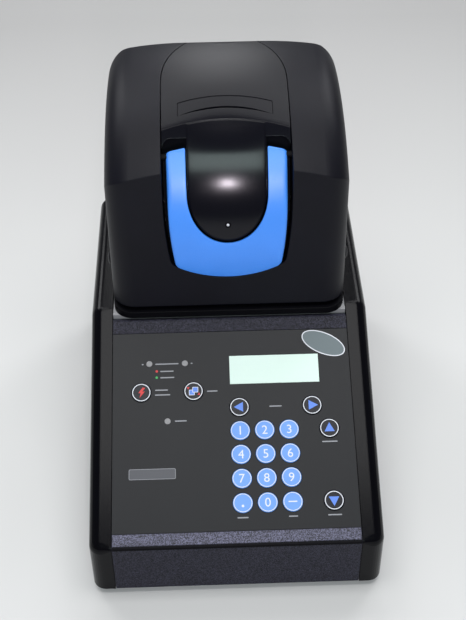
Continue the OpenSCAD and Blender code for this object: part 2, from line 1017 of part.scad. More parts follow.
module thermal_modules() {
  dx = block_w / 3;
  dy = block_d / 2;
  color("white")
    for (i = [-1 : 1])
      for (j = [-1, 1])
        translate([i * dx - module_w / 2, block_y + j * dy / 2 - module_d / 2, sink_top])
          cube([module_w, module_d, module_h]);
}

module heat_sink() {
  pitch = (sink_w - fin_t) / (fin_n - 1);
  arm_x = wall_x - sheet;
  arm_t = 6;
  arm_d = 14;
  color("gainsboro") {
    box(-sink_w / 2, sink_w / 2, sink_front, sink_rear, sink_top - sink_base, sink_top);
    for (i = [0 : fin_n - 1])
      translate([-sink_w / 2 + i * pitch, sink_front, fin_bottom])
        cube([fin_t, sink_rear - sink_front, sink_top - sink_base - fin_bottom + eps]);
    for (y = [sink_front, sink_rear - arm_d])
      box(-arm_x, arm_x, y, y + arm_d, sink_top - arm_t, sink_top);
  }
}

module hinge_pins() {
  color("silver")
    mirror_x()
      rod(ear_x - lug_gap - lug_w, ear_x + ear_w, hinge_y, hinge_z, hinge_d);
}

module latch_strike() {
  color("silver")
    box(-strike_half, strike_half, slot_front, slot_front + strike_t, deck_top, plateau_z);
}

// lid forms

module crown_profile(d) {
  r_corner = max(corner_r - d, 0.5);
  reach = corner_x * (crown_r - d) / (crown_r - corner_r);
  intersection() {
    translate([crown_in, 0])
      circle(crown_r - d, $fn = 360);
    translate([0, -reach])
      square([top_arc_r, 2 * reach]);
  }
  translate([0, -lid_half + d])
    square([corner_in, 2 * (lid_half - d)]);
  for (s = [-1, 1])
    translate([corner_in, s * corner_x])
      circle(r_corner);
}

module crown_solid(d) {
  translate([0, peak_y, arc_z])
    rotate([0, 90, 0])
      rotate_extrude($fn = 360)
        crown_profile(d);
}

module front_prism(d) {
  translate([0, lid_front + d, lid_z])
    rotate([-lid_lean, 0, 0])
      translate([0, 0, -form_over])
        linear_extrude(lid_h + 2 * form_over)
          round_plan(lid_half - d, 0, far, plan_r - d);
}

module back_prism(d) {
  translate([0, 0, lid_z - form_over])
    linear_extrude(lid_h + 2 * form_over)
      round_plan(lid_half - d, -far, lid_back - d, plan_r - d);
}

module back_profile(d) {
  across(lid_half + 5) {
    r = back_r - d;
    translate([-far, lid_z - form_over])
      square([far + lid_back - d, back_z - lid_z + form_over]);
    translate([-far, lid_z - form_over])
      square([far + lid_back - back_r, lid_h + 2 * form_over]);
    translate([lid_back - back_r, back_z])
      circle(r);
  }
}

module hood_form(d) {
  intersection() {
    crown_solid(d);
    front_prism(d);
    back_prism(d);
    back_profile(d);
  }
}

module dome(d, half) {
  rod(-half, half, dome_y, dome_z, 2 * (dome_r - d));
}

module recess_outline(grow) {
  polygon(shield(recess_side + grow, recess_foot + grow, [[recess_half + grow, peak_z + form_over]]));
}

module cover_plan(grow) {
  half = recess_half + grow;
  y1 = arch_end + grow;
  translate([-half, -far])
    square([2 * half, far + arch_y]);
  intersection() {
    translate([half - arch_r - grow, arch_y])
      circle(arch_r + grow, $fn = 180);
    translate([-half + arch_r + grow, arch_y])
      circle(arch_r + grow, $fn = 180);
    translate([-half, arch_y - 1])
      square([2 * half, y1 - arch_y + 1]);
  }
}

module cover_region(grow) {
  intersection() {
    deep(-far, far)
      recess_outline(grow);
    translate([0, 0, lid_z])
      linear_extrude(lid_h + 20)
        cover_plan(grow);
  }
}

module cover_form(d) {
  intersection() {
    crown_solid(d);
    back_profile(d);
    dome(d, lid_half);
  }
}

module tongue_outline() {
  half = inner_half_x - tongue_gap;
  polygon(concat(
    [[-half, peak_z], [half, peak_z]],
    bow(half, inner_z, inner_drop - tongue_gap)));
}

// all above the handle's arms, rounded down to the sides
module brow_outline() {
  x = recess_half - groove - brow_r;
  z = brow_z - brow_r;
  right = concat([[lid_half, peak_z + 1], [lid_half, z]], arc(x, z, brow_r, 0, 90));
  polygon(concat(right, mirrored(right)));
}

// a rim under the hood's edge that the cover rests on
module cover_ledge() {
  difference() {
    intersection() {
      hood_form(hood_wall - ledge_bite);
      cover_region(ledge_out);
      box(-far, far, brow_back + 1, far, -far, far);
    }
    hood_form(hood_wall + ledge_t);
    cover_region(-ledge_in);
    difference() {
      cover_region(0);
      cover_form(hood_wall);
    }
  }
}

module lid_hood() {
  color("dimgray") {
    cover_ledge();
    difference() {
      union() {
        difference() {
          hood_form(0);
          hood_form(hood_wall);
          box(-far, far, -far, far, lid_z - far, lid_z);
          box(-far, far, rear_cut_y, far, lid_z - 1, rear_cut_z);
        }
        difference() {
          intersection() {
            hood_form(0);
            deep(-far, brow_back)
              difference() {
                recess_outline(recess_wall);
                recess_outline(0);
              }
          }
          dome(floor_back, lid_half);
        }
      }
      cover_region(0);
      mirror_x()
        rod(recess_half - 1, recess_half + recess_wall + 1, pivot_y, pivot_z, pivot_d);
    }
  }
}

// stands on the liner and holds the cover's floor
module cover_stand() {
  x0 = stand_x - stand_w / 2;
  floor_y = dome_y - dome_r + floor_in + floor_t / 2;
  box(x0, x0 + stand_w, stand_y, stand_y + stand_w, liner_top, stand_top);
  box(x0, x0 + stand_w, floor_y, stand_y + stand_w, stand_top - stand_head, stand_top);
}

module lid_cover() {
  color("black") {
    mirror_x()
      cover_stand();
    difference() {
      intersection() {
        cover_region(-groove);
        difference() {
          cover_form(0);
          cover_form(floor_back);
        }
        union() {
          difference() {
            deep(-far, far)
              brow_outline();
            difference() {
              cover_form(hood_wall);
              box(-far, far, -far, brow_back, -far, far);
            }
          }
          deep(-far, brow_back)
            tongue_outline();
          difference() {
            dome(floor_in, lid_half);
            box(-far, far, brow_back, far, -far, far);
          }
        }
      }
      badge_form(0, badge_y0, badge_bow);
      lamp_bore(lamp_d);
    }
  }
}

// outline of the badge, whose front edge is an arc of its own
module badge_plan(shrink, front_y, front_r) {
  intersection() {
    translate([0, badge_y0 + badge_len - badge_bow])
      circle(badge_bow - shrink, $fn = 180);
    translate([-badge_half + shrink, badge_y0 - badge_len])
      square([2 * badge_half - 2 * shrink, far]);
    difference() {
      translate([-far, 0])
        square([2 * far, far]);
      translate([0, front_y - front_r])
        circle(front_r + shrink, $fn = 180);
    }
  }
}

module badge_form(shrink, front_y, front_r) {
  difference() {
    translate([0, 0, peak_z - badge_reach])
      linear_extrude(2 * badge_reach)
        badge_plan(shrink, front_y, front_r);
    crown_solid(badge_deep);
  }
}

module badge_inlay() {
  color("black")
    intersection() {
      crown_solid(badge_in);
      badge_form(badge_edge, badge_y0 + badge_slot, slot_bow);
    }
}

module lamp_bore(d) {
  translate([0, lamp_y, lamp_z])
    rotate([90 - lamp_tilt, 0, 0])
      cylinder(d = d, h = 2 * lamp_reach, center = true);
}

module lid_lamp() {
  color("lightgray")
    intersection() {
      lamp_bore(lamp_d - 2 * fit);
      difference() {
        dome(-lamp_proud, lid_half);
        dome(floor_in, lid_half);
      }
    }
}

// lid inner parts

module lid_liner() {
  color("black")
    difference() {
      union() {
        plan_box(liner_half, liner_front, liner_rear, plan_r, liner_z, liner_top);
        mirror_x() {
          rod(ear_x - lug_gap - lug_w, ear_x - lug_gap, hinge_y, hinge_z, 2 * lug_r);
          box(ear_x - lug_gap - lug_w, ear_x - lug_gap, liner_rear - 20, hinge_y,
            hinge_z - 2, hinge_z + lug_r);
          box(lever_half + 2, lever_half + 2 + lug_post, lever_y - 6, lever_y + 6, liner_z, lever_z + 6);
        }
        intersection() {
          union() {
            box(-liner_half, liner_half, shelf_y, shelf_y + liner_t, liner_z, shelf_z + liner_t);
            box(-liner_half, liner_half, shelf_y, lid_back, shelf_z, shelf_z + liner_t);
          }
          back_prism(hood_wall);
        }
        for (sx = [-1, 1])
          for (sy = [-1, 1])
            translate([sx * post_x, block_y + sy * post_y, liner_z])
              cylinder(d = post_d, h = liner_t + post_h);
      }
      box(-plate_w / 2 - plate_gap, plate_w / 2 + plate_gap, block_y - plate_d / 2 - plate_gap,
        block_y + plate_d / 2 + plate_gap, liner_z - 1, liner_top + 1);
      box(-lever_half - 1, lever_half + 1, liner_front + 1, lever_y + 8, liner_z - 1, liner_top + 1);
      rod(-lever_half - 10, lever_half + 10, lever_y, lever_z, trunnion_d + 2 * fit);
      mirror_x()
        rod(ear_x - lug_gap - lug_w - 1, ear_x, hinge_y, hinge_z, hinge_d + 2 * fit);
    }
}

module heated_plate() {
  fw = plate_w / 2 + plate_flange;
  fd = plate_d / 2 + plate_flange;
  z1 = liner_top + gap;
  color("silver")
    difference() {
      union() {
        box(-plate_w / 2, plate_w / 2, block_y - plate_d / 2, block_y + plate_d / 2, plate_bottom, z1 + eps);
        box(-fw, fw, block_y - fd, block_y + fd, z1, z1 + plate_flange_t);
      }
      for (sx = [-1, 1])
        for (sy = [-1, 1])
          translate([sx * post_x, block_y + sy * post_y, z1 - 1])
            cylinder(d = post_d + 2 * fit, h = plate_flange_t + 2);
      well_places()
        translate([0, 0, plate_bottom - 1])
          cylinder(d = optic_d, h = z1 + plate_flange_t - plate_bottom + 2);
    }
}

module scan_frame() {
  foot = 12;
  color("dimgray")
    difference() {
      union() {
        mirror_x() {
          box(frame_x, frame_x + frame_t, block_y - frame_half_d, block_y + frame_half_d,
            liner_top, liner_top + frame_h);
          box(frame_x, frame_x + foot, block_y - frame_half_d, block_y + frame_half_d,
            liner_top, liner_top + frame_t);
        }
        for (sy = [-1, 1])
          rod(-frame_x - eps, frame_x + eps, block_y + sy * rail_y, rail_z, rail_d);
      }
      rod(-frame_x - frame_t - 1, frame_x + frame_t + 1, block_y, rail_z, screw_d + 2 * fit);
    }
}

module scan_motor() {
  color("black")
    difference() {
      box(-frame_x - frame_t - motor_len, -frame_x - frame_t, block_y - motor_w / 2, block_y + motor_w / 2,
        rail_z - motor_w / 2, rail_z + motor_w / 2);
      rod(-frame_x - frame_t - motor_len / 2, -frame_x, block_y, rail_z, screw_d + 2 * fit);
    }
}

module lead_screw() {
  color("silver")
    rod(-frame_x - frame_t - motor_len / 2 + 1, frame_x + frame_t, block_y, rail_z, screw_d);
}

module optics_shuttle() {
  lens_n = 4;
  lens_pitch = 18;
  color("gray")
    difference() {
      union() {
        box(-shuttle_w / 2, shuttle_w / 2, block_y - shuttle_half_d, block_y + shuttle_half_d,
          shuttle_bottom, shuttle_top);
        for (i = [0 : lens_n - 1])
          translate([0, block_y + (i - (lens_n - 1) / 2) * lens_pitch, shuttle_bottom - lens_drop])
            cylinder(d = lens_d, h = lens_drop + eps);
      }
      for (sy = [-1, 1])
        rod(-shuttle_w, shuttle_w, block_y + sy * rail_y, rail_z, rail_d + 2 * fit);
      rod(-shuttle_w, shuttle_w, block_y, rail_z, screw_d + 2 * fit);
    }
}

module handle_outline() {
  crest = bend([handle_half - arm_r, arm_top_z - arm_r], arm_r, 90, 0);
  polygon(shield(0, 0, concat(crest, [[handle_half, arm_top_z - arm_r]])));
}

// the opening round the tongue
module handle_opening(grow) {
  half = inner_half_x + grow;
  polygon(concat(
    [[-half, arm_top_z + 1], [half, arm_top_z + 1]],
    bow(half, inner_z, inner_drop + grow)));
}

module latch_handle() {
  pin_out = recess_half + recess_wall - 0.5;
  color("cornflowerblue") {
    difference() {
      intersection() {
        difference() {
          dome(-handle_proud, lid_half);
          dome(handle_t - handle_proud, lid_half + 1);
        }
        deep(-far, brow_back)
          difference() {
            handle_outline();
            handle_opening(0);
          }
      }
      intersection() {
        dome(-relief_up, lid_half);
        deep(-far, brow_back)
          handle_opening(relief);
      }
    }
    mirror_x()
      rod(handle_half - 3, pin_out, pivot_y, pivot_z, pivot_d - 2 * fit);
  }
}

module latch_lever() {
  knee = 6;
  color("silver") {
    across(lever_half)
      polygon([[lever_y - lever_t, lever_z], [lever_y + lever_t, lever_z],
        [lever_y + lever_t, lever_foot_z], [nose_y + nose_w, lever_foot_z],
        [nose_y + nose_w, nose_z], [nose_y, nose_z], [nose_y, lever_foot_z + knee],
        [lever_y - lever_t, lever_foot_z + knee]]);
    rod(-lever_half, lever_half, lever_y, lever_z, 2 * lever_t);
    rod(-lever_half - 2 - lug_post, lever_half + 2 + lug_post, lever_y, lever_z, trunnion_d);
  }
}

base_pan();
left_side_panel();
right_side_panel();
front_cover();
bay_deck();
rear_panel();
keypad_overlay();
display_lens();
display_module();
keypad_board();
status_lights();
control_board();
power_supply();
fan_frames();
power_inlet();
serial_port();
rubber_feet();
chassis_screws();
unit_base();
sample_block();
block_seal();
thermal_modules();
heat_sink();
hinge_pins();
latch_strike();
lid_hood();
lid_cover();
lid_liner();
scan_frame();
scan_motor();
badge_inlay();
lid_lamp();
heated_plate();
optics_shuttle();
lead_screw();
latch_handle();
latch_lever();
power_rocker();
fan_rotor(-1);  // fan_rotor_left
fan_rotor(1);  // fan_rotor_right
number_key(1, 0);  // key_0
number_key(0, 3);  // key_1
number_key(1, 3);  // key_2
number_key(2, 3);  // key_3
number_key(0, 2);  // key_4
number_key(1, 2);  // key_5
number_key(2, 2);  // key_6
number_key(0, 1);  // key_7
number_key(1, 1);  // key_8
number_key(2, 1);  // key_9
number_key(0, 0);  // key_dot
number_key(2, 0);  // key_dash
key(key_x0, arrow_row);  // key_left
key(arrow_right_x, arrow_row);  // key_right
key(arrow_side_x, arrow_up_row);  // key_up
key(arrow_side_x, key_s0);  // key_down
key(run_x, func_row);  // key_run
key(block_x, func_row);  // key_block
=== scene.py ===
import json
import math

import bpy
from mathutils import Matrix, Vector


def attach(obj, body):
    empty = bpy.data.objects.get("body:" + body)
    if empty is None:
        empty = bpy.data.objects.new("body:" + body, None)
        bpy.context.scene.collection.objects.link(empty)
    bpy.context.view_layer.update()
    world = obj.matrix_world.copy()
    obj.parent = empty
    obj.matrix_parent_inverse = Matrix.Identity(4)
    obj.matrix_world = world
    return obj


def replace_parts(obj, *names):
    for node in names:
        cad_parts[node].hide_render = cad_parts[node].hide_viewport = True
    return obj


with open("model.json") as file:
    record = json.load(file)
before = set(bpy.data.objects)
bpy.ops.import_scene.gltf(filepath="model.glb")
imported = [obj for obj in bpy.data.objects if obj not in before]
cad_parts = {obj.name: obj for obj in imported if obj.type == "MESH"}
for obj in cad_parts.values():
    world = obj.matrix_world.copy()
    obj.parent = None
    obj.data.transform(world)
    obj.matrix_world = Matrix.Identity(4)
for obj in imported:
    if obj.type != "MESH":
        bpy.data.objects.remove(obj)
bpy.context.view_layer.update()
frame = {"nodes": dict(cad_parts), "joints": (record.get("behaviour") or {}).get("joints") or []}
nodes = frame["nodes"]
joints = {j["name"]: j for j in frame["joints"]}
MM = 0.001

# Camera, as fitted to the photograph: place in metres, angles in degrees,
# height of the picture and focal length in pixels, sensor in millimetres
IMAGE_H = 620
FOCAL_PX = 1166.45
CAMERA_AT = Vector((-0.01627, -0.74891, 0.842))
CAMERA_PITCH, CAMERA_ROLL, CAMERA_YAW = 42.5, 0.58, 1.48
SENSOR = 36.0

# Sloped panel: the front edge of its plane, and its tilt taken from the keys' travel
PRESS = Vector(joints["key_5_press"]["axis"])
PANEL_N = -PRESS
PANEL_X = Vector((1, 0, 0))
PANEL_S = PANEL_N.cross(PANEL_X)
PANEL_EDGE = Vector((0, -180, 60)) * MM

# Barrel of the lid's front: its axis along x, the radius of the tongue's face,
# and the height of the pockets above the handle's arms
BARREL = Vector((0, 160.0456, 200)) * MM
DOME_R = 154 * MM
POCKET_TOP = 306 * MM

# Printed films: how far they sink into what carries them, and how far they stand up
FILM_SINK, FILM_UP = 0.03 * MM, 0.05 * MM
ROUND_STEPS = 48


# Colours

def srgb(r, g, b):
    """A colour given as 0 to 255 screen values, as the linear value that Blender takes."""
    def linear(v):
        v /= 255
        return v / 12.92 if v <= 0.04045 else ((v + 0.055) / 1.055) ** 2.4
    return linear(r), linear(g), linear(b), 1.0


def shade(color, factor):
    return tuple(min(1.0, c * factor) for c in color[:3]) + (1.0,)


# Materials

# slow patches of colour on mouldings, stains on metal, and the swing of a moulding's sheen
PATCH, STAIN = 40 * MM, 25 * MM
SHEEN_SWING = 0.06
BEVEL_SAMPLES = 6
# fine grain of the lid's cover, and how gradually its polish and its dull pockets begin
COVER_GRAIN, COVER_DEPTH, COVER_SWING = 0.6 * MM, 0.006 * MM, 0.03
POLISH_FADE, POCKET_FADE = 3 * MM, 8 * MM
COVER_SHEEN = dict(polished=0.18, satin=0.42, dull=0.95, gloss=0.25)


class Shader:
    """A node material with a principled surface, textured in the object's own coordinates."""

    def __init__(self, name):
        self.material = bpy.data.materials.new(name)
        self.material.use_nodes = True
        self.tree = self.material.node_tree
        self.surface = self.tree.nodes["Principled BSDF"]
        self.coords = self.node("ShaderNodeTexCoord").outputs["Object"]
        self.normal = None

    def node(self, kind, **inputs):
        made = self.tree.nodes.new(kind)
        for key, value in inputs.items():
            made.inputs[key.replace("_", " ")].default_value = value
        return made

    def link(self, source, target):
        self.tree.links.new(source, target)

    def set(self, **inputs):
        for key, value in inputs.items():
            self.surface.inputs[key.replace("_", " ")].default_value = value

    def feed(self, key, value):
        """Drives an input of the surface by a node's output."""
        self.link(value, self.surface.inputs[key])

    def noise(self, size, detail=3.0, stretch=(1, 1, 1)):
        """Noise whose features are about size metres across, drawn out along the axes by stretch."""
        mapping = self.node("ShaderNodeMapping")
        mapping.inputs["Scale"].default_value = [1 / s for s in stretch]
        self.link(self.coords, mapping.inputs["Vector"])
        noise = self.node("ShaderNodeTexNoise", Scale=1 / size, Detail=detail)
        self.link(mapping.outputs["Vector"], noise.inputs["Vector"])
        return noise.outputs["Fac"]

    def spread(self, value, low, high, start=0.3, end=0.7):
        """Maps a texture's middle range to low and high."""
        node = self.node("ShaderNodeMapRange")
        node.inputs["From Min"].default_value = start
        node.inputs["From Max"].default_value = end
        node.inputs["To Min"].default_value = low
        node.inputs["To Max"].default_value = high
        self.link(value, node.inputs["Value"])
        return node.outputs["Result"]

    def blend_colors(self, value, first, second, start=0.3, end=0.7):
        ramp = self.node("ShaderNodeValToRGB")
        ramp.color_ramp.elements[0].position = start
        ramp.color_ramp.elements[1].position = end
        ramp.color_ramp.elements[0].color = first
        ramp.color_ramp.elements[1].color = second
        self.link(value, ramp.inputs["Fac"])
        return ramp.outputs["Color"]

    def along(self, axis, start, end, low, high):
        """A value that changes evenly along one of the object's axes."""
        axes = self.node("ShaderNodeSeparateXYZ")
        self.link(self.coords, axes.inputs["Vector"])
        return self.spread(axes.outputs[axis], low, high, start, end)

    def from_axis(self, axis, start, end):
        """A value from 0 to 1 that follows the distance from an axis along x."""
        mapping = self.node("ShaderNodeMapping", Location=(0, -axis.y, -axis.z), Scale=(0, 1, 1))
        self.link(self.coords, mapping.inputs["Vector"])
        length = self.node("ShaderNodeVectorMath")
        length.operation = "LENGTH"
        self.link(mapping.outputs["Vector"], length.inputs[0])
        return self.spread(length.outputs["Value"], 0, 1, start, end)

    def between(self, share, first, second):
        """A value from first to second, which may be values or sockets."""
        node = self.node("ShaderNodeMapRange")
        for key, value in (("To Min", first), ("To Max", second)):
            if isinstance(value, float):
                node.inputs[key].default_value = value
            else:
                self.link(value, node.inputs[key])
        self.link(share, node.inputs["Value"])
        return node.outputs["Result"]

    def add(self, first, second):
        node = self.node("ShaderNodeMath")
        self.link(first, node.inputs[0])
        self.link(second, node.inputs[1])
        return node.outputs["Value"]

    def soft_edges(self, radius):
        """Rounds the look of the edges by a small radius."""
        bevel = self.node("ShaderNodeBevel", Radius=radius)
        bevel.samples = BEVEL_SAMPLES
        self.normal = bevel.outputs["Normal"]
        self.feed("Normal", self.normal)

    def bump(self, value, depth, strength=1.0):
        bump = self.node("ShaderNodeBump", Strength=strength, Distance=depth)
        self.link(value, bump.inputs["Height"])
        if self.normal:
            self.link(self.normal, bump.inputs["Normal"])
        self.normal = bump.outputs["Normal"]
        self.feed("Normal", self.normal)


def moulded(name, color, roughness, grain, depth, edge=0.5 * MM, drift=0.12, gloss=0.5):
    """Moulded or painted surface: a fine grain, slow drift of colour and sheen, softened edges."""
    s = Shader(name)
    slow = s.noise(PATCH, detail=2.0)
    s.feed("Base Color", s.blend_colors(slow, shade(color, 1 - drift), shade(color, 1 + drift)))
    fine = s.noise(grain, detail=2.0)
    s.feed("Roughness", s.spread(fine, roughness - SHEEN_SWING, roughness + SHEEN_SWING))
    if edge:
        s.soft_edges(edge)
    s.bump(fine, depth)
    s.set(Specular_IOR_Level=gloss)
    return s.material


def half_polished(name, color, polished, satin, dull, gloss, edge, drift=0.1):
    """Black moulding: polished on the barrel of the tongue, dull in the pockets under it, satin above."""
    s = Shader(name)
    slow = s.noise(PATCH, detail=2.0)
    s.feed("Base Color", s.blend_colors(slow, shade(color, 1 - drift), shade(color, 1 + drift)))
    fine = s.noise(COVER_GRAIN, detail=2.0)
    inside = s.along("Z", POCKET_TOP - POCKET_FADE, POCKET_TOP, dull, satin)
    sheen = s.between(s.from_axis(BARREL, DOME_R - POLISH_FADE, DOME_R), inside, polished)
    s.feed("Roughness", s.add(sheen, s.spread(fine, -COVER_SWING, COVER_SWING)))
    s.soft_edges(edge)
    s.bump(fine, COVER_DEPTH)
    s.set(Specular_IOR_Level=gloss)
    return s.material


def speckled(name, color, roughness, grain, depth, contrast, gloss, swing=0.08, edge=0.6 * MM):
    """Coarse textured paint: each grain's colour is set darker or paler, a painted glint of the grain
    catching the light, and its bumps catch the real light.
    """
    s = Shader(name)
    grains = s.node("ShaderNodeTexVoronoi", Scale=1 / grain)
    s.link(s.coords, grains.inputs["Vector"])
    part = s.node("ShaderNodeSeparateColor")
    s.link(grains.outputs["Color"], part.inputs["Color"])
    # painted glints: grains coloured from 1 - contrast / 2 to 1 + contrast times the paint
    dark, pale = shade(color, 1 - contrast / 2), shade(color, 1 + contrast)
    s.feed("Base Color", s.blend_colors(part.outputs["Red"], dark, pale, start=0.2, end=1))
    s.feed("Roughness", s.spread(s.noise(3 * grain), roughness - swing, roughness + swing))
    s.soft_edges(edge)
    s.bump(grains.outputs["Distance"], depth, strength=0.8)
    s.bump(s.noise(grain / 2), depth / 2, strength=0.6)
    s.set(Specular_IOR_Level=gloss)
    return s.material


def metal(name, color, roughness, stretch=(1, 1, 1), grain=0.4 * MM, depth=0.01 * MM, edge=0.3 * MM):
    """Bare metal with a machined or brushed finish along the longest stretch."""
    s = Shader(name)
    s.set(Metallic=1.0)
    brush = s.noise(grain, detail=4.0, stretch=stretch)
    stain = s.noise(STAIN)
    s.feed("Base Color", s.blend_colors(stain, shade(color, 0.88), shade(color, 1.06)))
    s.feed("Roughness", s.spread(brush, low=roughness - 0.08, high=roughness + 0.1))
    s.soft_edges(edge)
    s.bump(brush, depth)
    return s.material


def circuit_board(name, color, track=2.5 * MM, depth=0.03 * MM):
    """Lacquered board with faint copper lines under the lacquer."""
    s = Shader(name)
    lines = s.noise(track, detail=1.0, stretch=(6, 1, 1))
    s.feed("Base Color", s.blend_colors(lines, color, shade(color, 1.8), start=0.48, end=0.54))
    s.feed("Roughness", s.spread(lines, low=0.3, high=0.42))
    s.bump(lines, depth)
    return s.material


def printed(name, color, roughness=0.45, swing=0.05, grain=0.35 * MM, depth=0.004 * MM):
    """Screen-printed ink: nearly even, with the slight pinholes and sheen of a print."""
    s = Shader(name)
    pinholes = s.noise(grain, detail=2.0)
    s.feed("Base Color", s.blend_colors(pinholes, shade(color, 0.9), color))
    s.feed("Roughness", s.spread(pinholes, roughness - swing, roughness + swing))
    s.bump(pinholes, depth)
    return s.material


# mouldings: name, colour, roughness, size and depth of the grain, then edge, drift and gloss where set
shell = moulded("shell_black", srgb(9, 9, 19), 0.45, 0.7 * MM, 0.05 * MM, 1.5 * MM, gloss=0.2)
cheek = moulded("panel_black", srgb(4, 4, 8), 0.20, 0.8 * MM, 0.015 * MM, gloss=0.13)
cover_black = half_polished("cover_black", srgb(6, 6, 15), edge=0.4 * MM, **COVER_SHEEN)
tongue_black = half_polished("tongue_black", srgb(6, 6, 15), edge=2.2 * MM, **COVER_SHEEN)
# black for rims, and for the fold sheet and the pivot pins as painted shade
rim_and_shade_black = moulded("rim_and_shade_black", srgb(4, 4, 8), 0.5, 0.6 * MM, 0.03 * MM, 1.0 * MM, gloss=0.1)
inner_black = moulded("inner_black", srgb(36, 36, 40), 0.55, 0.6 * MM, 0.05 * MM)
# speckled paints, with painted glints in the colour of their grains; the bar's paint is paler, and its
# painted glints stronger
cover_paint = speckled("cover_grey", srgb(38, 38, 48), 0.42, 0.6 * MM, 0.07 * MM, 1.3, 0.12)
bar_paint = speckled("bar_grey", srgb(72, 72, 89), 0.40, 0.62 * MM, 0.08 * MM, 1.5, 0.35)
film = moulded("overlay_film", srgb(17, 19, 23), 0.46, 0.35 * MM, 0.012 * MM, 0.2 * MM, 0.06, 0.3)
key_blue = moulded("key_blue", srgb(115, 162, 234), 0.45, 0.4 * MM, 0.012 * MM, 0.3 * MM, 0.03, 0.3)
key_black = moulded("key_black", srgb(14, 16, 26), 0.4, 0.4 * MM, 0.012 * MM, 0.3 * MM, 0.05, 0.3)
handle_blue = moulded("handle_blue", srgb(72, 148, 252), 0.32, 0.5 * MM, 0.0005 * MM, 0, 0.03, 0.5)
screen = moulded("display_face", srgb(224, 245, 234), 0.4, 2 * MM, 0.004 * MM, 0.1 * MM, 0.01, 0.2)
lamp_grey = moulded("light_pipe", srgb(128, 128, 130), 0.35, 0.5 * MM, 0.01 * MM, 0.2 * MM, 0.05)
lens_clear = moulded("lamp_clear", srgb(214, 215, 222), 0.12, 0.5 * MM, 0.002 * MM, 0, 0.03, 0.8)
rubber = moulded("rubber_black", srgb(30, 30, 31), 0.8, 0.5 * MM, 0.08 * MM)
deck_paint = moulded("deck_grey", srgb(150, 150, 152), 0.45, 0.8 * MM, 0.03 * MM)
ceramic = moulded("ceramic_white", srgb(225, 224, 218), 0.6, 0.3 * MM, 0.01 * MM)
zinc = metal("zinc_plate", srgb(178, 180, 184), 0.38, (1, 1, 12))
steel = metal("polished_steel", srgb(196, 197, 200), 0.24, (10, 1, 1))
dull_tin = metal("dull_tin", srgb(112, 113, 118), 0.45, (6, 1, 1))
aluminium = metal("machined_aluminium", srgb(208, 209, 212), 0.32, (14, 1, 1), 0.3 * MM)
board = circuit_board("board_green", srgb(20, 78, 44))
ink_white = printed("ink_white", srgb(228, 231, 238))
ink_pale = printed("ink_pale_grey", srgb(150, 152, 158))
ink_blue = printed("ink_blue", srgb(92, 138, 232))
ink_red = printed("ink_red", srgb(212, 40, 40))
ink_green = printed("ink_green", srgb(52, 170, 84))
ink_grey = printed("ink_slate", srgb(98, 112, 116))
ink_plate = printed("ink_plate", srgb(74, 76, 82))

NUMBER_KEYS = ["key_%d" % i for i in range(10)] + ["key_dot", "key_dash"]
DARK_KEYS = ["key_left", "key_right", "key_up", "key_down", "key_run", "key_block"]
FINISHES = [
    (shell, ["lid_hood"]),
    (cheek, ["left_side_panel", "right_side_panel"]),
    (cover_black, ["lid_cover", "badge_inlay"]),
    (rim_and_shade_black, ["unit_base"]),
    (inner_black, ["lid_liner", "power_inlet", "power_rocker", "fan_frames", "fan_rotor_left",
                   "fan_rotor_right", "scan_motor", "optics_shuttle", "scan_frame"]),
    (cover_paint, ["front_cover"]),
    (film, ["keypad_overlay"]),
    (key_blue, NUMBER_KEYS),
    (key_black, DARK_KEYS),
    (screen, ["display_lens"]),
    (lamp_grey, ["status_lights", "lid_lamp"]),
    (rubber, ["rubber_feet", "block_seal"]),
    (deck_paint, ["bay_deck"]),
    (ceramic, ["thermal_modules"]),
    (zinc, ["base_pan", "rear_panel", "power_supply"]),
    (steel, ["chassis_screws", "hinge_pins", "latch_strike", "lead_screw", "latch_lever"]),
    (dull_tin, ["serial_port"]),
    (aluminium, ["sample_block", "heat_sink", "heated_plate"]),
    (board, ["display_module", "keypad_board", "control_board"]),
    (handle_blue, ["latch_handle"]),
]
for finish, names in FINISHES:
    for name in names:
        nodes[name].data.materials.clear()
        nodes[name].data.materials.append(finish)


# Mesh building

class Sheet:
    """Collects thin closed plates on a plane and makes one object of them."""

    def __init__(self, place, materials):
        self.place = place
        self.materials = materials
        self.verts = []
        self.faces = []
        self.finishes = []

    def plate(self, points, faces, low, high, finish=0):
        """A plate with the outline of a flat mesh, from one height to another."""
        start = len(self.verts)
        count = len(points)
        self.verts += [self.place(x, y, high) for x, y in points]
        self.verts += [self.place(x, y, low) for x, y in points]
        edges = {}
        for face in faces:
            self.add([start + i for i in face], finish)
            self.add([start + count + i for i in reversed(face)], finish)
            edges.update(dict.fromkeys(zip(face, face[1:] + face[:1])))
        for a, b in edges:
            if (b, a) not in edges:
                self.add([start + b, start + a, start + count + a, start + count + b], finish)

    def add(self, face, finish):
        self.faces.append(face)
        self.finishes.append(finish)

    def outline(self, points, low, high, finish=0):
        self.plate(points, [list(range(len(points)))], low, high, finish)

    def ring(self, center, inside, outside, low, high, finish=0):
        points = circle(center, outside) + circle(center, inside)
        n = ROUND_STEPS
        faces = [[i, (i + 1) % n, n + (i + 1) % n, n + i] for i in range(n)]
        self.plate(points, faces, low, high, finish)

    def object(self, name, body, slot=None):
        mesh = bpy.data.meshes.new(name)
        mesh.from_pydata(self.verts, [], self.faces)
        for material in self.materials:
            mesh.materials.append(material)
        mesh.polygons.foreach_set("material_index", self.finishes)
        return add_piece(name, mesh, body)


def add_piece(name, mesh, body):
    obj = bpy.data.objects.new(name, mesh)
    bpy.context.scene.collection.objects.link(obj)
    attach(obj, body)
    return obj


def circle(center, radius, steps=ROUND_STEPS):
    turns = [2 * math.pi * i / steps for i in range(steps)]
    return [(center[0] + radius * math.cos(a), center[1] + radius * math.sin(a)) for a in turns]


def ellipse(center, half_w, half_h, turn):
    return turned([(half_w * x, half_h * y) for x, y in circle((0, 0), 1)], center, turn)


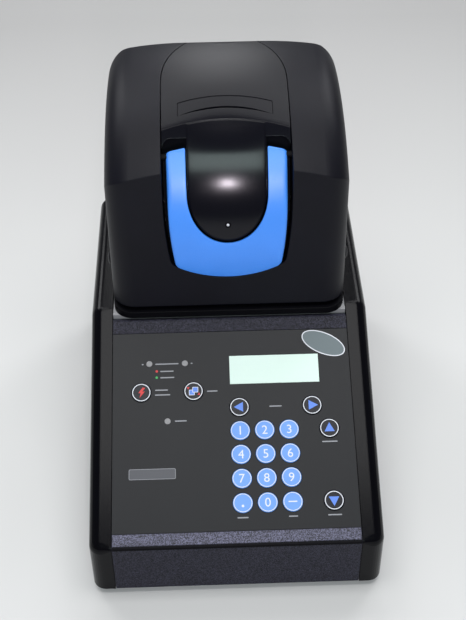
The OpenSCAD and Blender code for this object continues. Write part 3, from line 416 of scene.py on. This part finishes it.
def rounded_box(center, width, height, radius, steps=6):
    points = []
    for k, (sx, sy) in enumerate([(1, 1), (-1, 1), (-1, -1), (1, -1)]):
        corner = (center[0] + sx * (width / 2 - radius), center[1] + sy * (height / 2 - radius))
        for i in range(steps + 1):
            a = (k + i / steps) * math.pi / 2
            points.append((corner[0] + radius * math.cos(a), corner[1] + radius * math.sin(a)))
    return points


def turned(points, center, turn):
    c, s = math.cos(turn), math.sin(turn)
    return [(center[0] + c * x - s * y, center[1] + s * x + c * y) for x, y in points]


def in_mm(points):
    return [(x * MM, y * MM) for x, y in points]


def glyph(character, height, center):
    """A character of the built-in font as flat points and faces, of that height, centred."""
    curve = bpy.data.curves.new("glyph", "FONT")
    curve.body = character
    holder = bpy.data.objects.new("glyph", curve)
    bpy.context.scene.collection.objects.link(holder)
    mesh = bpy.data.meshes.new_from_object(holder)
    points = [(v.co.x, v.co.y) for v in mesh.vertices]
    faces = [list(p.vertices) for p in mesh.polygons]
    bpy.data.objects.remove(holder)
    bpy.data.meshes.remove(mesh)
    xs, ys = [p[0] for p in points], [p[1] for p in points]
    scale = height / (max(ys) - min(ys))
    mid = ((max(xs) + min(xs)) / 2, (max(ys) + min(ys)) / 2)
    moved = [(center[0] + (x - mid[0]) * scale, center[1] + (y - mid[1]) * scale) for x, y in points]
    return moved, faces


# Places on the sloped panel

def on_panel(x, s, n):
    return PANEL_EDGE + PANEL_X * x + PANEL_S * s + PANEL_N * n


def panel_top(node):
    """Height of a node's highest face above the plane of the panel."""
    return max((v.co - PANEL_EDGE).dot(PANEL_N) for v in nodes[node].data.vertices)


def panel_center(node):
    """Where a node lies on the panel, across it and up its slope."""
    offsets = [v.co - PANEL_EDGE for v in nodes[node].data.vertices]
    xs = [p.dot(PANEL_X) for p in offsets]
    ss = [p.dot(PANEL_S) for p in offsets]
    return (min(xs) + max(xs)) / 2, (min(ss) + max(ss)) / 2


# Keys

DIGIT_H = 7.4 * MM
RING_OUT, RING_IN = 7.75 * MM, 7.2 * MM
DARK_RING_OUT, DARK_RING_IN = 7.75 * MM, 7.05 * MM
DOT_R, DOT_DROP = 1.1 * MM, 2.6 * MM
DASH_W, DASH_H = 7.4 * MM, 1.0 * MM
DASH_CORNER = DASH_H / 2.1
ARROW_R = 4.9 * MM
ARROW_BACK, ARROW_HALF = 0.62 * ARROW_R, 0.88 * ARROW_R
BOLT = in_mm([(1.2, 4.6), (-2.6, -0.4), (-0.5, -0.6), (-1.6, -4.8), (3.0, 0.9), (0.8, 0.9), (3.3, 4.0)])
SQUARE_W, SQUARE_RIM, SQUARE_CORNER, SQUARE_FACE_CORNER = 4.9 * MM, 0.45 * MM, 0.4 * MM, 0.3 * MM
SQUARE_PLACES = in_mm([(-1.5, -1.2), (1.5, 1.2)])
BARB = in_mm([(1.3, 0), (-0.9, 1.2), (-0.9, -1.2)])
# where the barbs lie round the key, and how far each is turned from there, in radians
BARB_AWAY, BARB_LEAN = 5.3 * MM, 2.0
BARB_TURNS = [math.radians(150), math.radians(-30)]
ARROW_TURNS = [("key_left", 180), ("key_right", 0), ("key_up", 90), ("key_down", -90)]


def key_print(key, materials):
    """A sheet for a key's print, the middle of the key, and the print's lower and upper height."""
    top = panel_top(key)
    sheet = Sheet(on_panel, materials)
    return sheet, panel_center(key), top - FILM_SINK, top + FILM_UP


def print_number(key):
    sheet, center, low, high = key_print(key, [ink_white])
    sheet.ring(center, RING_IN, RING_OUT, low, high)
    mark = key.split("_")[1]
    if mark == "dot":
        sheet.outline(circle((center[0], center[1] - DOT_DROP), DOT_R), low, high)
    elif mark == "dash":
        sheet.outline(rounded_box(center, DASH_W, DASH_H, DASH_CORNER), low, high)
    else:
        points, faces = glyph(mark, DIGIT_H, center)
        sheet.plate(points, faces, low, high)
    sheet.object(key + "_print", key)


def print_arrow(key, turn):
    sheet, center, low, high = key_print(key, [ink_white, ink_blue])
    sheet.ring(center, DARK_RING_IN, DARK_RING_OUT, low, high)
    tip = [(ARROW_R, 0), (-ARROW_BACK, ARROW_HALF), (-ARROW_BACK, -ARROW_HALF)]
    sheet.outline(turned(tip, center, turn), low, high, 1)
    sheet.object(key + "_print", key)


def print_run(key):
    sheet, center, low, high = key_print(key, [ink_white, ink_red])
    sheet.ring(center, DARK_RING_IN, DARK_RING_OUT, low, high)
    sheet.outline(turned(BOLT, center, 0), low, high, 1)
    sheet.object(key + "_print", key)


def print_block(key):
    """Two overlapping squares, each a pale frame with a blue face on it, and two red barbs."""
    sheet, center, low, high = key_print(key, [ink_white, ink_blue, ink_red])
    sheet.ring(center, DARK_RING_IN, DARK_RING_OUT, low, high)
    face = SQUARE_W - 2 * SQUARE_RIM
    for i, (x, y) in enumerate(SQUARE_PLACES):
        at = (center[0] + x, center[1] + y)
        top = high + 2 * i * FILM_UP
        sheet.outline(rounded_box(at, SQUARE_W, SQUARE_W, SQUARE_CORNER), low, top)
        sheet.outline(rounded_box(at, face, face, SQUARE_FACE_CORNER), low, top + FILM_UP, 1)
    for turn in BARB_TURNS:
        at = turned([(BARB_AWAY, 0)], center, turn)[0]
        sheet.outline(turned(BARB, at, turn + BARB_LEAN), low, high, 2)
    sheet.object(key + "_print", key)


for key in NUMBER_KEYS:
    print_number(key)
for key, degrees in ARROW_TURNS:
    print_arrow(key, math.radians(degrees))
print_run("key_run")
print_block("key_block")


# Printed panel

# legend strips: place across and up the panel, and length, in millimetres
LEGEND_H = 1.0 * MM
LEGEND_CORNER = LEGEND_H / 2.2
LEGENDS = [
    (36.6, 118.1, 10.5), (80.9, 85.7, 13.0), (81.2, 23.5, 11.5), (5.5, 23.3, 9.0),
    (47.0, 23.3, 7.5), (-44.2, 107.3, 10.0), (-55.4, 158.8, 20.0), (-55.5, 152.1, 11.5),
    (-55.2, 146.4, 12.0), (-60.3, 135.2, 11.0), (-59.4, 130.9, 13.0), (-16.9, 133.1, 9.0),
    (-76.3, 158.8, 1.6), (-34.1, 158.8, 1.6)]
# coloured dots beside two of them: place in millimetres, and which of the sheet's inks
DOT_PRINTS = [((-64.2, 152.3), 1), ((-64.3, 146.6), 2)]
DOT_PRINT_R, DOT_PRINT_STEPS = 1.1 * MM, 24
OVAL_AT, OVAL_TURN = (80.7 * MM, 174.1 * MM), math.radians(-25.6)
OVAL_W, OVAL_H, OVAL_RIM = 20 * MM, 9.8 * MM, 0.9 * MM
PLATE_AT, PLATE_W, PLATE_H, PLATE_CORNER = (-68.7 * MM, 62 * MM), 39 * MM, 9 * MM, 1.2 * MM
PLATE_RIM, PLATE_FACE_CORNER = 0.4 * MM, 0.9 * MM
FILM_TOP = panel_top("keypad_overlay")
PRINT_LOW, PRINT_HIGH = FILM_TOP - FILM_SINK, FILM_TOP + FILM_UP


def print_legends():
    sheet = Sheet(on_panel, [ink_pale, ink_red, ink_green])
    for x, s, length in LEGENDS:
        strip = rounded_box((x * MM, s * MM), length * MM, LEGEND_H, LEGEND_CORNER)
        sheet.outline(strip, PRINT_LOW, PRINT_HIGH)
    for (x, s), finish in DOT_PRINTS:
        dot = circle((x * MM, s * MM), DOT_PRINT_R, DOT_PRINT_STEPS)
        sheet.outline(dot, PRINT_LOW, PRINT_HIGH, finish)
    sheet.object("panel_legends", "chassis")


def stick_oval():
    """An empty sticker with a pale rim."""
    sheet = Sheet(on_panel, [ink_white, ink_grey])
    rim = ellipse(OVAL_AT, OVAL_W, OVAL_H, OVAL_TURN)
    face = ellipse(OVAL_AT, OVAL_W - OVAL_RIM, OVAL_H - OVAL_RIM, OVAL_TURN)
    sheet.outline(rim, PRINT_LOW, PRINT_HIGH)
    sheet.outline(face, PRINT_LOW, PRINT_HIGH + FILM_UP, 1)
    sheet.object("oval_sticker", "chassis")


def stick_nameplate():
    """An empty nameplate with a pale rim."""
    sheet = Sheet(on_panel, [ink_pale, ink_plate])
    rim = rounded_box(PLATE_AT, PLATE_W, PLATE_H, PLATE_CORNER)
    face = rounded_box(PLATE_AT, PLATE_W - 2 * PLATE_RIM, PLATE_H - 2 * PLATE_RIM, PLATE_FACE_CORNER)
    sheet.outline(rim, PRINT_LOW, PRINT_HIGH)
    sheet.outline(face, PRINT_LOW, PRINT_HIGH + FILM_UP, 1)
    sheet.object("blank_nameplate", "chassis")


print_legends()
stick_oval()
stick_nameplate()


# Painted bar in front of the keypad film, and a black sheet of painted shade for the dark line along the
# fold under it

BAR_S0, BAR_S1, BAR_INSET = 2.6 * MM, 12.2 * MM, 0.3 * MM
BAR_HALF = max(v.co.x for v in nodes["front_cover"].data.vertices) - BAR_INSET
FOLD_R, FOLD_STEPS = 4 * MM, 8
FOLD_FROM, FOLD_TO = math.radians(172), math.radians(122)
FOLD_LEAN = math.atan2(PANEL_N.z, PANEL_N.y)
FOLD_C = PANEL_EDGE + Vector((0, FOLD_R, -FOLD_R * math.tan((math.pi - FOLD_LEAN) / 2)))


def paint_bar():
    sheet = Sheet(on_panel, [bar_paint])
    corners = [(-BAR_HALF, BAR_S0), (BAR_HALF, BAR_S0), (BAR_HALF, BAR_S1), (-BAR_HALF, BAR_S1)]
    sheet.outline(corners, -FILM_SINK, FILM_UP)
    sheet.object("front_bar_paint", "chassis")


def on_fold(x, turn, n):
    return FOLD_C + Vector((x, (FOLD_R + n) * math.cos(turn), (FOLD_R + n) * math.sin(turn)))


# painted shade: a black sheet along the fold under the bar
def draw_fold_shade():
    sheet = Sheet(on_fold, [rim_and_shade_black])
    turns = [FOLD_FROM + (FOLD_TO - FOLD_FROM) * i / FOLD_STEPS for i in range(FOLD_STEPS + 1)]
    points = [(x, turn) for turn in turns for x in (-BAR_HALF, BAR_HALF)]
    faces = [[2 * i, 2 * i + 1, 2 * i + 3, 2 * i + 2] for i in range(FOLD_STEPS)]
    sheet.plate(points, faces, -FILM_SINK, FILM_UP)
    sheet.object("fold_shade", "chassis")


paint_bar()
draw_fold_shade()


# Character cells of the display, in a standard block of four lines

CELL_W, CELL_H, CELL_CORNER, CELL_CORNER_STEPS = 2.95 * MM, 4.75 * MM, 0.2 * MM, 2
CELL_PITCH_X, CELL_PITCH_S = 3.55 * MM, 5.35 * MM
CELL_COLS, CELL_ROWS = 20, 4
CELL_UP = FILM_UP / 3


def print_cells():
    top = panel_top("display_lens")
    x, s = panel_center("display_lens")
    sheet = Sheet(on_panel, [screen])
    for col in range(CELL_COLS):
        for row in range(CELL_ROWS):
            at = (x + (col - (CELL_COLS - 1) / 2) * CELL_PITCH_X,
                  s + (row - (CELL_ROWS - 1) / 2) * CELL_PITCH_S)
            cell = rounded_box(at, CELL_W, CELL_H, CELL_CORNER, CELL_CORNER_STEPS)
            sheet.outline(cell, top - FILM_SINK, top + CELL_UP)
    sheet.object("display_cells", "chassis")


print_cells()


# Blue handle with rounded edges, on the same barrel face as the solid that it stands for

BARREL_R = 156.5 * MM
HANDLE_T = 7 * MM
HANDLE_HALF = 49.5 * MM
SIDE_R, FOOT_R, FOOT_CORNER = 365 * MM, 86 * MM, 8 * MM
SIDE_C = Vector((HANDLE_HALF - SIDE_R, 262 * MM))
FOOT_C = Vector((0, 275.7)) * MM
TONGUE_HALF, TONGUE_DROP = 33.6 * MM, 43 * MM
TONGUE_C = Vector((0, 268.5)) * MM
ARM_TOP, ARM_R, ARM_TILT = 299.7 * MM, 3.5 * MM, 2.0 * MM
FRONT_EDGE, LIP_EDGE, BACK_EDGE, TOP_EDGE = 2.2 * MM, 0.5 * MM, 1.0 * MM, 1.6 * MM
LIP_T, RELIEF = 2.0 * MM, 3.0 * MM
ARM_STEPS, ARC_STEPS, EDGE_STEPS, FACE_STEPS = 10, 12, 5, 6
LEVEL = 1e-9
PIN_R, PIN_END, PIN_IN, PIN_STEPS = 2.95 * MM, 56 * MM, 3 * MM, 24


def arc(center, radius, start, end, steps):
    """Points along an arc, without its last one."""
    turns = [start + (end - start) * i / steps for i in range(steps)]
    return [center + radius * Vector((math.cos(a), math.sin(a))) for a in turns]


def foot_corner():
    """Centre of the circle that rounds the handle's lower right corner."""
    from_side, from_foot = SIDE_R - FOOT_CORNER, FOOT_R - FOOT_CORNER
    across = FOOT_C - SIDE_C
    along = (from_side ** 2 - from_foot ** 2 + across.length ** 2) / (2 * across.length)
    u = across.normalized()
    return SIDE_C + along * u + math.sqrt(from_side ** 2 - along ** 2) * Vector((u.y, -u.x))


def handle_rows():
    """Rows of the right half: outer edge point, inner edge point, and how far the section draws in."""
    rows = []
    for i in range(EDGE_STEPS, 0, -1):
        a = math.pi / 2 * i / EDGE_STEPS
        z = ARM_TOP - TOP_EDGE * (1 - math.sin(a))
        rows.append((arm_side(z - ARM_TILT), Vector((TONGUE_HALF, z)), TOP_EDGE * (1 - math.cos(a))))
    for i in range(ARM_STEPS):
        t = (i / ARM_STEPS) ** 2
        z = ARM_TOP - TOP_EDGE + (SIDE_C.y + TOP_EDGE - ARM_TOP) * t
        inner = Vector((TONGUE_HALF, z + (TONGUE_C.y - SIDE_C.y) * t))
        rows.append((arm_side(z - ARM_TILT * (1 - t)), inner, 0))
    corner = foot_corner()
    on_side = math.atan2(corner.y - SIDE_C.y, corner.x - SIDE_C.x)
    on_foot = math.atan2(corner.y - FOOT_C.y, corner.x - FOOT_C.x)
    edge = arc(SIDE_C, SIDE_R, 0, on_side, ARC_STEPS)
    edge += arc(corner, FOOT_CORNER, on_side, on_foot, ARC_STEPS)
    edge += arc(FOOT_C, FOOT_R, on_foot, -math.pi / 2, ARC_STEPS)
    return rows + [(p, round_tongue(p), 0) for p in edge]


def arm_side(z):
    """The point of an arm's outer edge at a height, with the rounded corner at its top."""
    rise = min(max(z - (ARM_TOP - ARM_TILT - ARM_R), 0), ARM_R)
    return Vector((HANDLE_HALF - ARM_R + math.sqrt(ARM_R ** 2 - rise ** 2), z))


def round_tongue(p):
    """The point of the opening's edge that lies towards an outer edge point."""
    d = p - TONGUE_C
    if d.y > -LEVEL:
        return Vector((TONGUE_HALF, p.y))
    return TONGUE_C + d / math.hypot(d.x / TONGUE_HALF, d.y / TONGUE_DROP)


def edge_normal(points, i, flip):
    d = points[min(i + 1, len(points) - 1)] - points[max(i - 1, 0)]
    return flip * Vector((-d.y, d.x)).normalized()


def row_normals(rows):
    """Outward directions of both edges; in the arms they follow the rows, so that the tops do not fold."""
    outers, inners = [r[0] for r in rows], [r[1] for r in rows]
    found = []
    for k, (outer, inner) in enumerate(zip(outers, inners)):
        share = (outer.y - SIDE_C.y) / (ARM_TOP - SIDE_C.y)
        if share > 0:
            level = Vector((math.copysign(1, outer.x), 0))
            n = level.lerp((outer - inner).normalized(), share).normalized()
            found.append((n, -n))
        else:
            found.append((edge_normal(outers, k, 1), edge_normal(inners, k, -1)))
    return found


def quarter(radius, rising):
    """Insets and depths round a quarter circle, from the face or towards it."""
    turns = [math.pi / 2 * i / EDGE_STEPS for i in range(EDGE_STEPS + 1)]
    points = [(radius * (1 - math.sin(a)), radius * (1 - math.cos(a))) for a in turns]
    return points[::-1] if rising else points


def section(outer, inner, out_n, in_n, draw):
    """Points round a section: front view place and depth, from the outer front edge round the back."""
    back = [(inset, HANDLE_T - depth) for inset, depth in quarter(BACK_EDGE, True)]
    outside = quarter(FRONT_EDGE, False) + back
    inside = [(RELIEF + inset, depth) for inset, depth in back[::-1]]
    inside += [(RELIEF, LIP_T), (0, LIP_T)] + quarter(LIP_EDGE, True)
    squeeze = (HANDLE_T - 2 * draw) / HANDLE_T
    ring = [(outer - out_n * (inset + draw), draw + depth * squeeze) for inset, depth in outside]
    inner_ring = [(inner - in_n * (inset + draw), draw + depth * squeeze) for inset, depth in inside]
    ring += bridge(ring[-1], inner_ring[0]) + inner_ring
    return ring + bridge(inner_ring[-1], ring[0])


def bridge(first, last):
    """Points between two points of a section, at the depth of the first."""
    shares = [i / FACE_STEPS for i in range(1, FACE_STEPS)]
    return [(first[0].lerp(last[0], t), first[1]) for t in shares]


def on_barrel(p, depth):
    """A point of the front view on the handle's barrel face, sunk along the barrel's radius."""
    rise = p.y - BARREL.z
    r = (BARREL_R - depth) / BARREL_R
    return Vector((p.x, BARREL.y - math.sqrt(BARREL_R ** 2 - rise ** 2) * r, BARREL.z + rise * r))


def build_handle():
    """The handle, swept from the top of its right arm round the foot to the top of its left arm."""
    right = handle_rows()
    foot = Vector((0, FOOT_C.y - FOOT_R))
    flip = Vector((-1, 1))
    rows = right + [(foot, round_tongue(foot), 0)] + [(o * flip, i * flip, d) for o, i, d in right[::-1]]
    rings = [section(o, i, *normals, d) for (o, i, d), normals in zip(rows, row_normals(rows))]
    verts = [on_barrel(p, depth) for ring in rings for p, depth in ring]
    count = len(rings[0])
    faces = []
    for i in range(len(rings) - 1):
        for j in range(count):
            k = (j + 1) % count
            faces.append([i * count + j, i * count + k, (i + 1) * count + k, (i + 1) * count + j])
    faces.append(list(range(count - 1, -1, -1)))
    faces.append([(len(rings) - 1) * count + j for j in range(count)])
    mesh = smooth_mesh("blue_handle", verts, faces, handle_blue)
    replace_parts(add_piece("blue_handle", mesh, "handle"), "latch_handle")


def build_pins():
    """The handle's pivot pins, coloured black as painted shade, as dark as they look in the gap beside the
    arms.
    """
    pivot = Vector(joints["handle_pivot"]["pos_m"])
    verts, faces = [], []
    for side in (1, -1):
        start = len(verts)
        for x in (HANDLE_HALF - PIN_IN, PIN_END):
            verts += [(side * x, pivot.y + y, pivot.z + z) for y, z in circle((0, 0), PIN_R, PIN_STEPS)]
        first = list(range(start, start + PIN_STEPS))
        last = [i + PIN_STEPS for i in first]
        for i in range(PIN_STEPS):
            k = (i + 1) % PIN_STEPS
            faces.append([first[i], first[k], last[k], last[i]][::side])
        faces += [first[::-side], last[::side]]
    mesh = bpy.data.meshes.new("handle_pins")
    mesh.from_pydata(verts, [], faces)
    # painted shade: the pins are coloured black like the shaded gap
    mesh.materials.append(rim_and_shade_black)
    add_piece("handle_pins", mesh, "handle")


def smooth_mesh(name, verts, faces, material):
    mesh = bpy.data.meshes.new(name)
    mesh.from_pydata(verts, [], faces)
    mesh.materials.append(material)
    mesh.shade_smooth()
    return mesh


build_handle()
build_pins()


# Crowned face of the tongue, and its lamp

TOP_AXIS, TOP_R, CROWN_R = Vector((0, 130.0456, 112.5)) * MM, 215 * MM, 420 * MM
SKIN_HALF, SKIN_DROP, SKIN_FULL = 32.3 * MM, 41.7 * MM, 293 * MM
SKIN_CROWN, SKIN_RIM, SKIN_IN = 1.5 * MM, 0.06 * MM, 0.8 * MM
SKIN_SHARP = math.radians(50)
ARCH_LOW, ARCH_HIGH, ARCH_STEPS = 300 * MM, 325 * MM, 40
SKIN_ROWS, SKIN_COLS = 56, 32
LAMP_Z, LAMP_R, LAMP_UP = 241.1 * MM, 1.3 * MM, 0.7 * MM
BEZEL_R, BEZEL_UP = 2.5 * MM, LAMP_UP / 3
LAMP_RINGS, LAMP_STEPS = 5, 32
TIP_NARROW = 0.01


def skin_place(x, z, lift):
    """A point of the tongue's barrel face, lifted along the barrel's radius."""
    rise = z - BARREL.z
    r = (DOME_R + lift) / DOME_R
    return Vector((x, BARREL.y - math.sqrt(DOME_R ** 2 - rise ** 2) * r, BARREL.z + rise * r))


def top_depth(point):
    """How far a point lies under the lid's crowned top."""
    across = math.hypot(point.y - TOP_AXIS.y, point.z - TOP_AXIS.z)
    return TOP_R - CROWN_R + math.sqrt(CROWN_R ** 2 - point.x ** 2) - across


def arch_z(x):
    """Where the tongue's barrel meets the lid's crowned top."""
    low, high = ARCH_LOW, ARCH_HIGH
    for _ in range(ARCH_STEPS):
        z = (low + high) / 2
        if top_depth(skin_place(x, z, SKIN_RIM)) > 0:
            low = z
        else:
            high = z
    return low


def skin_lift(x, z, top):
    """Height of the crowned face above the barrel: little at the outline and at the arch above."""
    fall = min(0, z - TONGUE_C.y) / SKIN_DROP
    inside = max(0, 1 - (x / SKIN_HALF) ** 2 - fall ** 2)
    fade = min(1, max(0, (top - z) / (top - SKIN_FULL)))
    return SKIN_RIM + SKIN_CROWN * inside * fade ** 2 * (3 - 2 * fade)


def build_tongue():
    """The crowned skin, in rows from the tip of the tongue up to the arch."""
    shares = [math.sin(math.pi / 2 * (2 * j / SKIN_COLS - 1)) for j in range(SKIN_COLS + 1)]
    tops = [arch_z(SKIN_HALF * share) for share in shares]
    low = TONGUE_C.y - SKIN_DROP
    face, under = [], []
    for i in range(SKIN_ROWS + 1):
        rise = 1 - math.cos(math.pi / 2 * i / SKIN_ROWS)
        for share, top in zip(shares, tops):
            z = low + (top - low) * rise
            fall = min(0, z - TONGUE_C.y) / SKIN_DROP
            x = SKIN_HALF * share * max(TIP_NARROW, math.sqrt(max(0, 1 - fall ** 2)))
            face.append(skin_place(x, z, skin_lift(x, z, top)))
            under.append(skin_place(x, z, -SKIN_IN))
    mesh = smooth_mesh("tongue_face", *shell_faces(face, under, SKIN_COLS + 1), tongue_black)
    mesh.set_sharp_from_angle(angle=SKIN_SHARP)
    add_piece("tongue_face", mesh, "lid")


def shell_faces(top, under, width):
    """Faces of a thin closed shell between two point grids of the same width."""
    count = len(top)
    rows = count // width
    faces = []
    for i in range(rows - 1):
        for j in range(width - 1):
            a = i * width + j
            face = [a, a + 1, a + width + 1, a + width]
            faces += [face, [count + k for k in reversed(face)]]
    rim = list(range(width - 1)) + [width * i + width - 1 for i in range(rows - 1)]
    rim += [count - 1 - j for j in range(width - 1)] + [width * i for i in range(rows - 1, 0, -1)]
    for a, b in zip(rim, rim[1:] + rim[:1]):
        faces.append([b, a, count + a, count + b])
    return top + under, faces


def build_lamp():
    """A small domed lens in a dark bezel, square to the tongue's face."""
    middle = skin_place(0, LAMP_Z, skin_lift(0, LAMP_Z, arch_z(0)))
    out = (middle - Vector((0, BARREL.y, BARREL.z))).normalized()
    side = Vector((1, 0, 0))
    up = out.cross(side)

    def place(x, y, h):
        return middle + side * x + up * y + out * h

    bezel = Sheet(place, [rim_and_shade_black])
    bezel.ring((0, 0), LAMP_R, BEZEL_R, -SKIN_IN, BEZEL_UP)
    bezel.object("lamp_bezel", "lid", "shell_black")
    mesh = smooth_mesh("lamp_lens", *dome(place), lens_clear)
    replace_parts(add_piece("lamp_lens", mesh, "lid"), "lid_lamp")


def dome(place):
    """Points and faces of the lens: rings up to its tip, and a closed base inside the tongue."""
    n = LAMP_STEPS
    verts, faces = [], []
    for i in range(LAMP_RINGS):
        a = math.pi / 2 * i / LAMP_RINGS
        ring = circle((0, 0), LAMP_R * math.cos(a), n)
        verts += [place(x, y, LAMP_UP * math.sin(a)) for x, y in ring]
    tip = len(verts)
    verts.append(place(0, 0, LAMP_UP))
    verts += [place(x, y, -SKIN_IN) for x, y in circle((0, 0), LAMP_R, n)]
    base = tip + 1
    for j in range(n):
        k = (j + 1) % n
        for low in range(0, tip - n, n):
            faces.append([low + j, low + k, low + n + k, low + n + j])
        faces.append([tip - n + j, tip - n + k, tip])
        faces.append([base + j, base + k, k, j])
    faces.append([base + j for j in reversed(range(n))])
    return verts, faces


build_tongue()
build_lamp()


# Thumb rests on the lid's sides

REST_AT = Vector((101.5, 33, 191)) * MM
REST_OUT, REST_HALF_Y, REST_HALF_Z, REST_IN = 2.8 * MM, 5 * MM, 7 * MM, 0.8 * MM
REST_RINGS, REST_STEPS = 8, 32


def build_rests():
    """A low oval bump on each side of the lid, closed inside the wall."""
    verts, faces = [], []
    for side in (1, -1):
        start = len(verts)
        for i in range(REST_RINGS):
            a = math.pi / 2 * i / REST_RINGS
            x = REST_AT.x + REST_OUT * math.sin(a)
            verts += rest_ring(side, x, math.cos(a))
        verts.append((side * (REST_AT.x + REST_OUT), REST_AT.y, REST_AT.z))
        tip = len(verts) - 1
        verts += rest_ring(side, REST_AT.x - REST_IN, 1)
        inside = tip + 1
        order = [inside] + [start + i * REST_STEPS for i in range(REST_RINGS)]
        for low, high in zip(order, order[1:]):
            for j in range(REST_STEPS):
                k = (j + 1) % REST_STEPS
                faces.append([low + j, low + k, high + k, high + j][::side])
        for j in range(REST_STEPS):
            faces.append([order[-1] + j, order[-1] + (j + 1) % REST_STEPS, tip][::side])
        faces.append([inside + j for j in range(REST_STEPS)][::-side])
    mesh = smooth_mesh("side_rests", verts, faces, shell)
    add_piece("side_rests", mesh, "lid")


def rest_ring(side, x, share):
    flat = circle((0, 0), share, REST_STEPS)
    return [(side * x, REST_AT.y + REST_HALF_Y * y, REST_AT.z + REST_HALF_Z * z) for y, z in flat]


build_rests()


# Floor, light and camera

ROOM, ROOM_LEVEL = (0.92, 0.94, 1.0, 1), 0.2
# painted shade: the floor's colour dims evenly from pale to dim between two distances behind the middle
FLOOR_HALF, FLOOR_NEAR, FLOOR_FAR = 4.0, 0.1, 0.8
FLOOR_PALE, FLOOR_DIM = (0.65, 0.65, 0.64, 1), (0.42, 0.416, 0.41, 1)
FLOOR_PATCH, FLOOR_SMOOTH, FLOOR_ROUGH = 0.5, 0.55, 0.65
WHITE, COOL, GREENISH, PINKISH = (1, 1, 1), (0.97, 0.98, 1.0), (0.82, 1.0, 0.98), (1.0, 0.9, 1.0)
LID_TOP, LID_FRONT = (0, 0.05, 0.32), (0, 0.03, 0.27)
# name, place, aim, size, power, colour
LIGHTS = [
    ("overhead", (0, -0.18, 1.9), (0, -0.1, 0.1), (1.7, 0.7), 17.8, WHITE),
    ("back", (0, 1.72, 1.40), LID_TOP, (0.5, 1.05), 9, COOL),
    ("back_left", (-1.24, 1.40, 1.40), LID_TOP, (0.64, 1.05), 9, COOL),
    ("back_right", (1.24, 1.40, 1.40), LID_TOP, (0.64, 1.05), 9, COOL),
    ("high_left", (-0.55, 0.95, 1.90), LID_TOP, (0.6, 0.6), 4.5, COOL),
    ("high_right", (0.55, 0.95, 1.90), LID_TOP, (0.6, 0.6), 4.5, COOL),
    ("window", (0, -1.66, 1.51), LID_FRONT, (1.2, 0.46), 12, GREENISH),
    ("lamp", (0.03, -1.30, 0.78), LID_FRONT, (0.08, 0.07), 4.6, PINKISH),
]


def stage_floor():
    corners = [(-1, -1), (1, -1), (1, 1), (-1, 1)]
    mesh = bpy.data.meshes.new("floor")
    mesh.from_pydata([(FLOOR_HALF * x, FLOOR_HALF * y, 0) for x, y in corners], [], [[0, 1, 2, 3]])
    s = Shader("floor_white")
    # painted shade: the floor is coloured darker farther back
    away = s.along("Y", FLOOR_NEAR, FLOOR_FAR, 0, 1)
    s.feed("Base Color", s.blend_colors(away, FLOOR_PALE, FLOOR_DIM, start=0, end=1))
    s.feed("Roughness", s.spread(s.noise(FLOOR_PATCH), FLOOR_SMOOTH, FLOOR_ROUGH))
    mesh.materials.append(s.material)
    floor = bpy.data.objects.new("floor", mesh)
    bpy.context.scene.collection.objects.link(floor)


def area_light(name, at, target, size, power, color):
    data = bpy.data.lights.new(name, "AREA")
    data.shape = "RECTANGLE"
    data.size, data.size_y = size
    data.energy = power
    data.color = color
    lamp = bpy.data.objects.new(name, data)
    lamp.location = at
    lamp.rotation_mode = "QUATERNION"
    lamp.rotation_quaternion = (Vector(target) - Vector(at)).to_track_quat("-Z", "Y")
    bpy.context.scene.collection.objects.link(lamp)


def set_camera():
    """The fitted camera: turned by yaw, tipped down by pitch, then rolled about its own view."""
    pitch, roll, yaw = (math.radians(v) for v in (CAMERA_PITCH, CAMERA_ROLL, CAMERA_YAW))
    forward = Vector((math.sin(yaw) * math.cos(pitch), math.cos(yaw) * math.cos(pitch), -math.sin(pitch)))
    right = Vector((math.cos(yaw), -math.sin(yaw), 0))
    down = forward.cross(right)
    turned_right = math.cos(roll) * right + math.sin(roll) * down
    turned_up = math.sin(roll) * right - math.cos(roll) * down
    data = bpy.data.cameras.new("camera")
    data.sensor_width = SENSOR
    data.lens = FOCAL_PX / IMAGE_H * SENSOR
    camera = bpy.data.objects.new("camera", data)
    bpy.context.scene.collection.objects.link(camera)
    axes = Matrix((turned_right, turned_up, -forward)).transposed()
    camera.matrix_world = Matrix.Translation(CAMERA_AT) @ axes.to_4x4()
    bpy.context.scene.camera = camera


def set_world():
    world = bpy.data.worlds.new("studio")
    world.use_nodes = True
    background = world.node_tree.nodes["Background"]
    background.inputs["Color"].default_value = ROOM
    background.inputs["Strength"].default_value = ROOM_LEVEL
    bpy.context.scene.world = world


stage_floor()
for light in LIGHTS:
    area_light(*light)
set_camera()
set_world()
bpy.context.scene.view_settings.view_transform = "Standard"
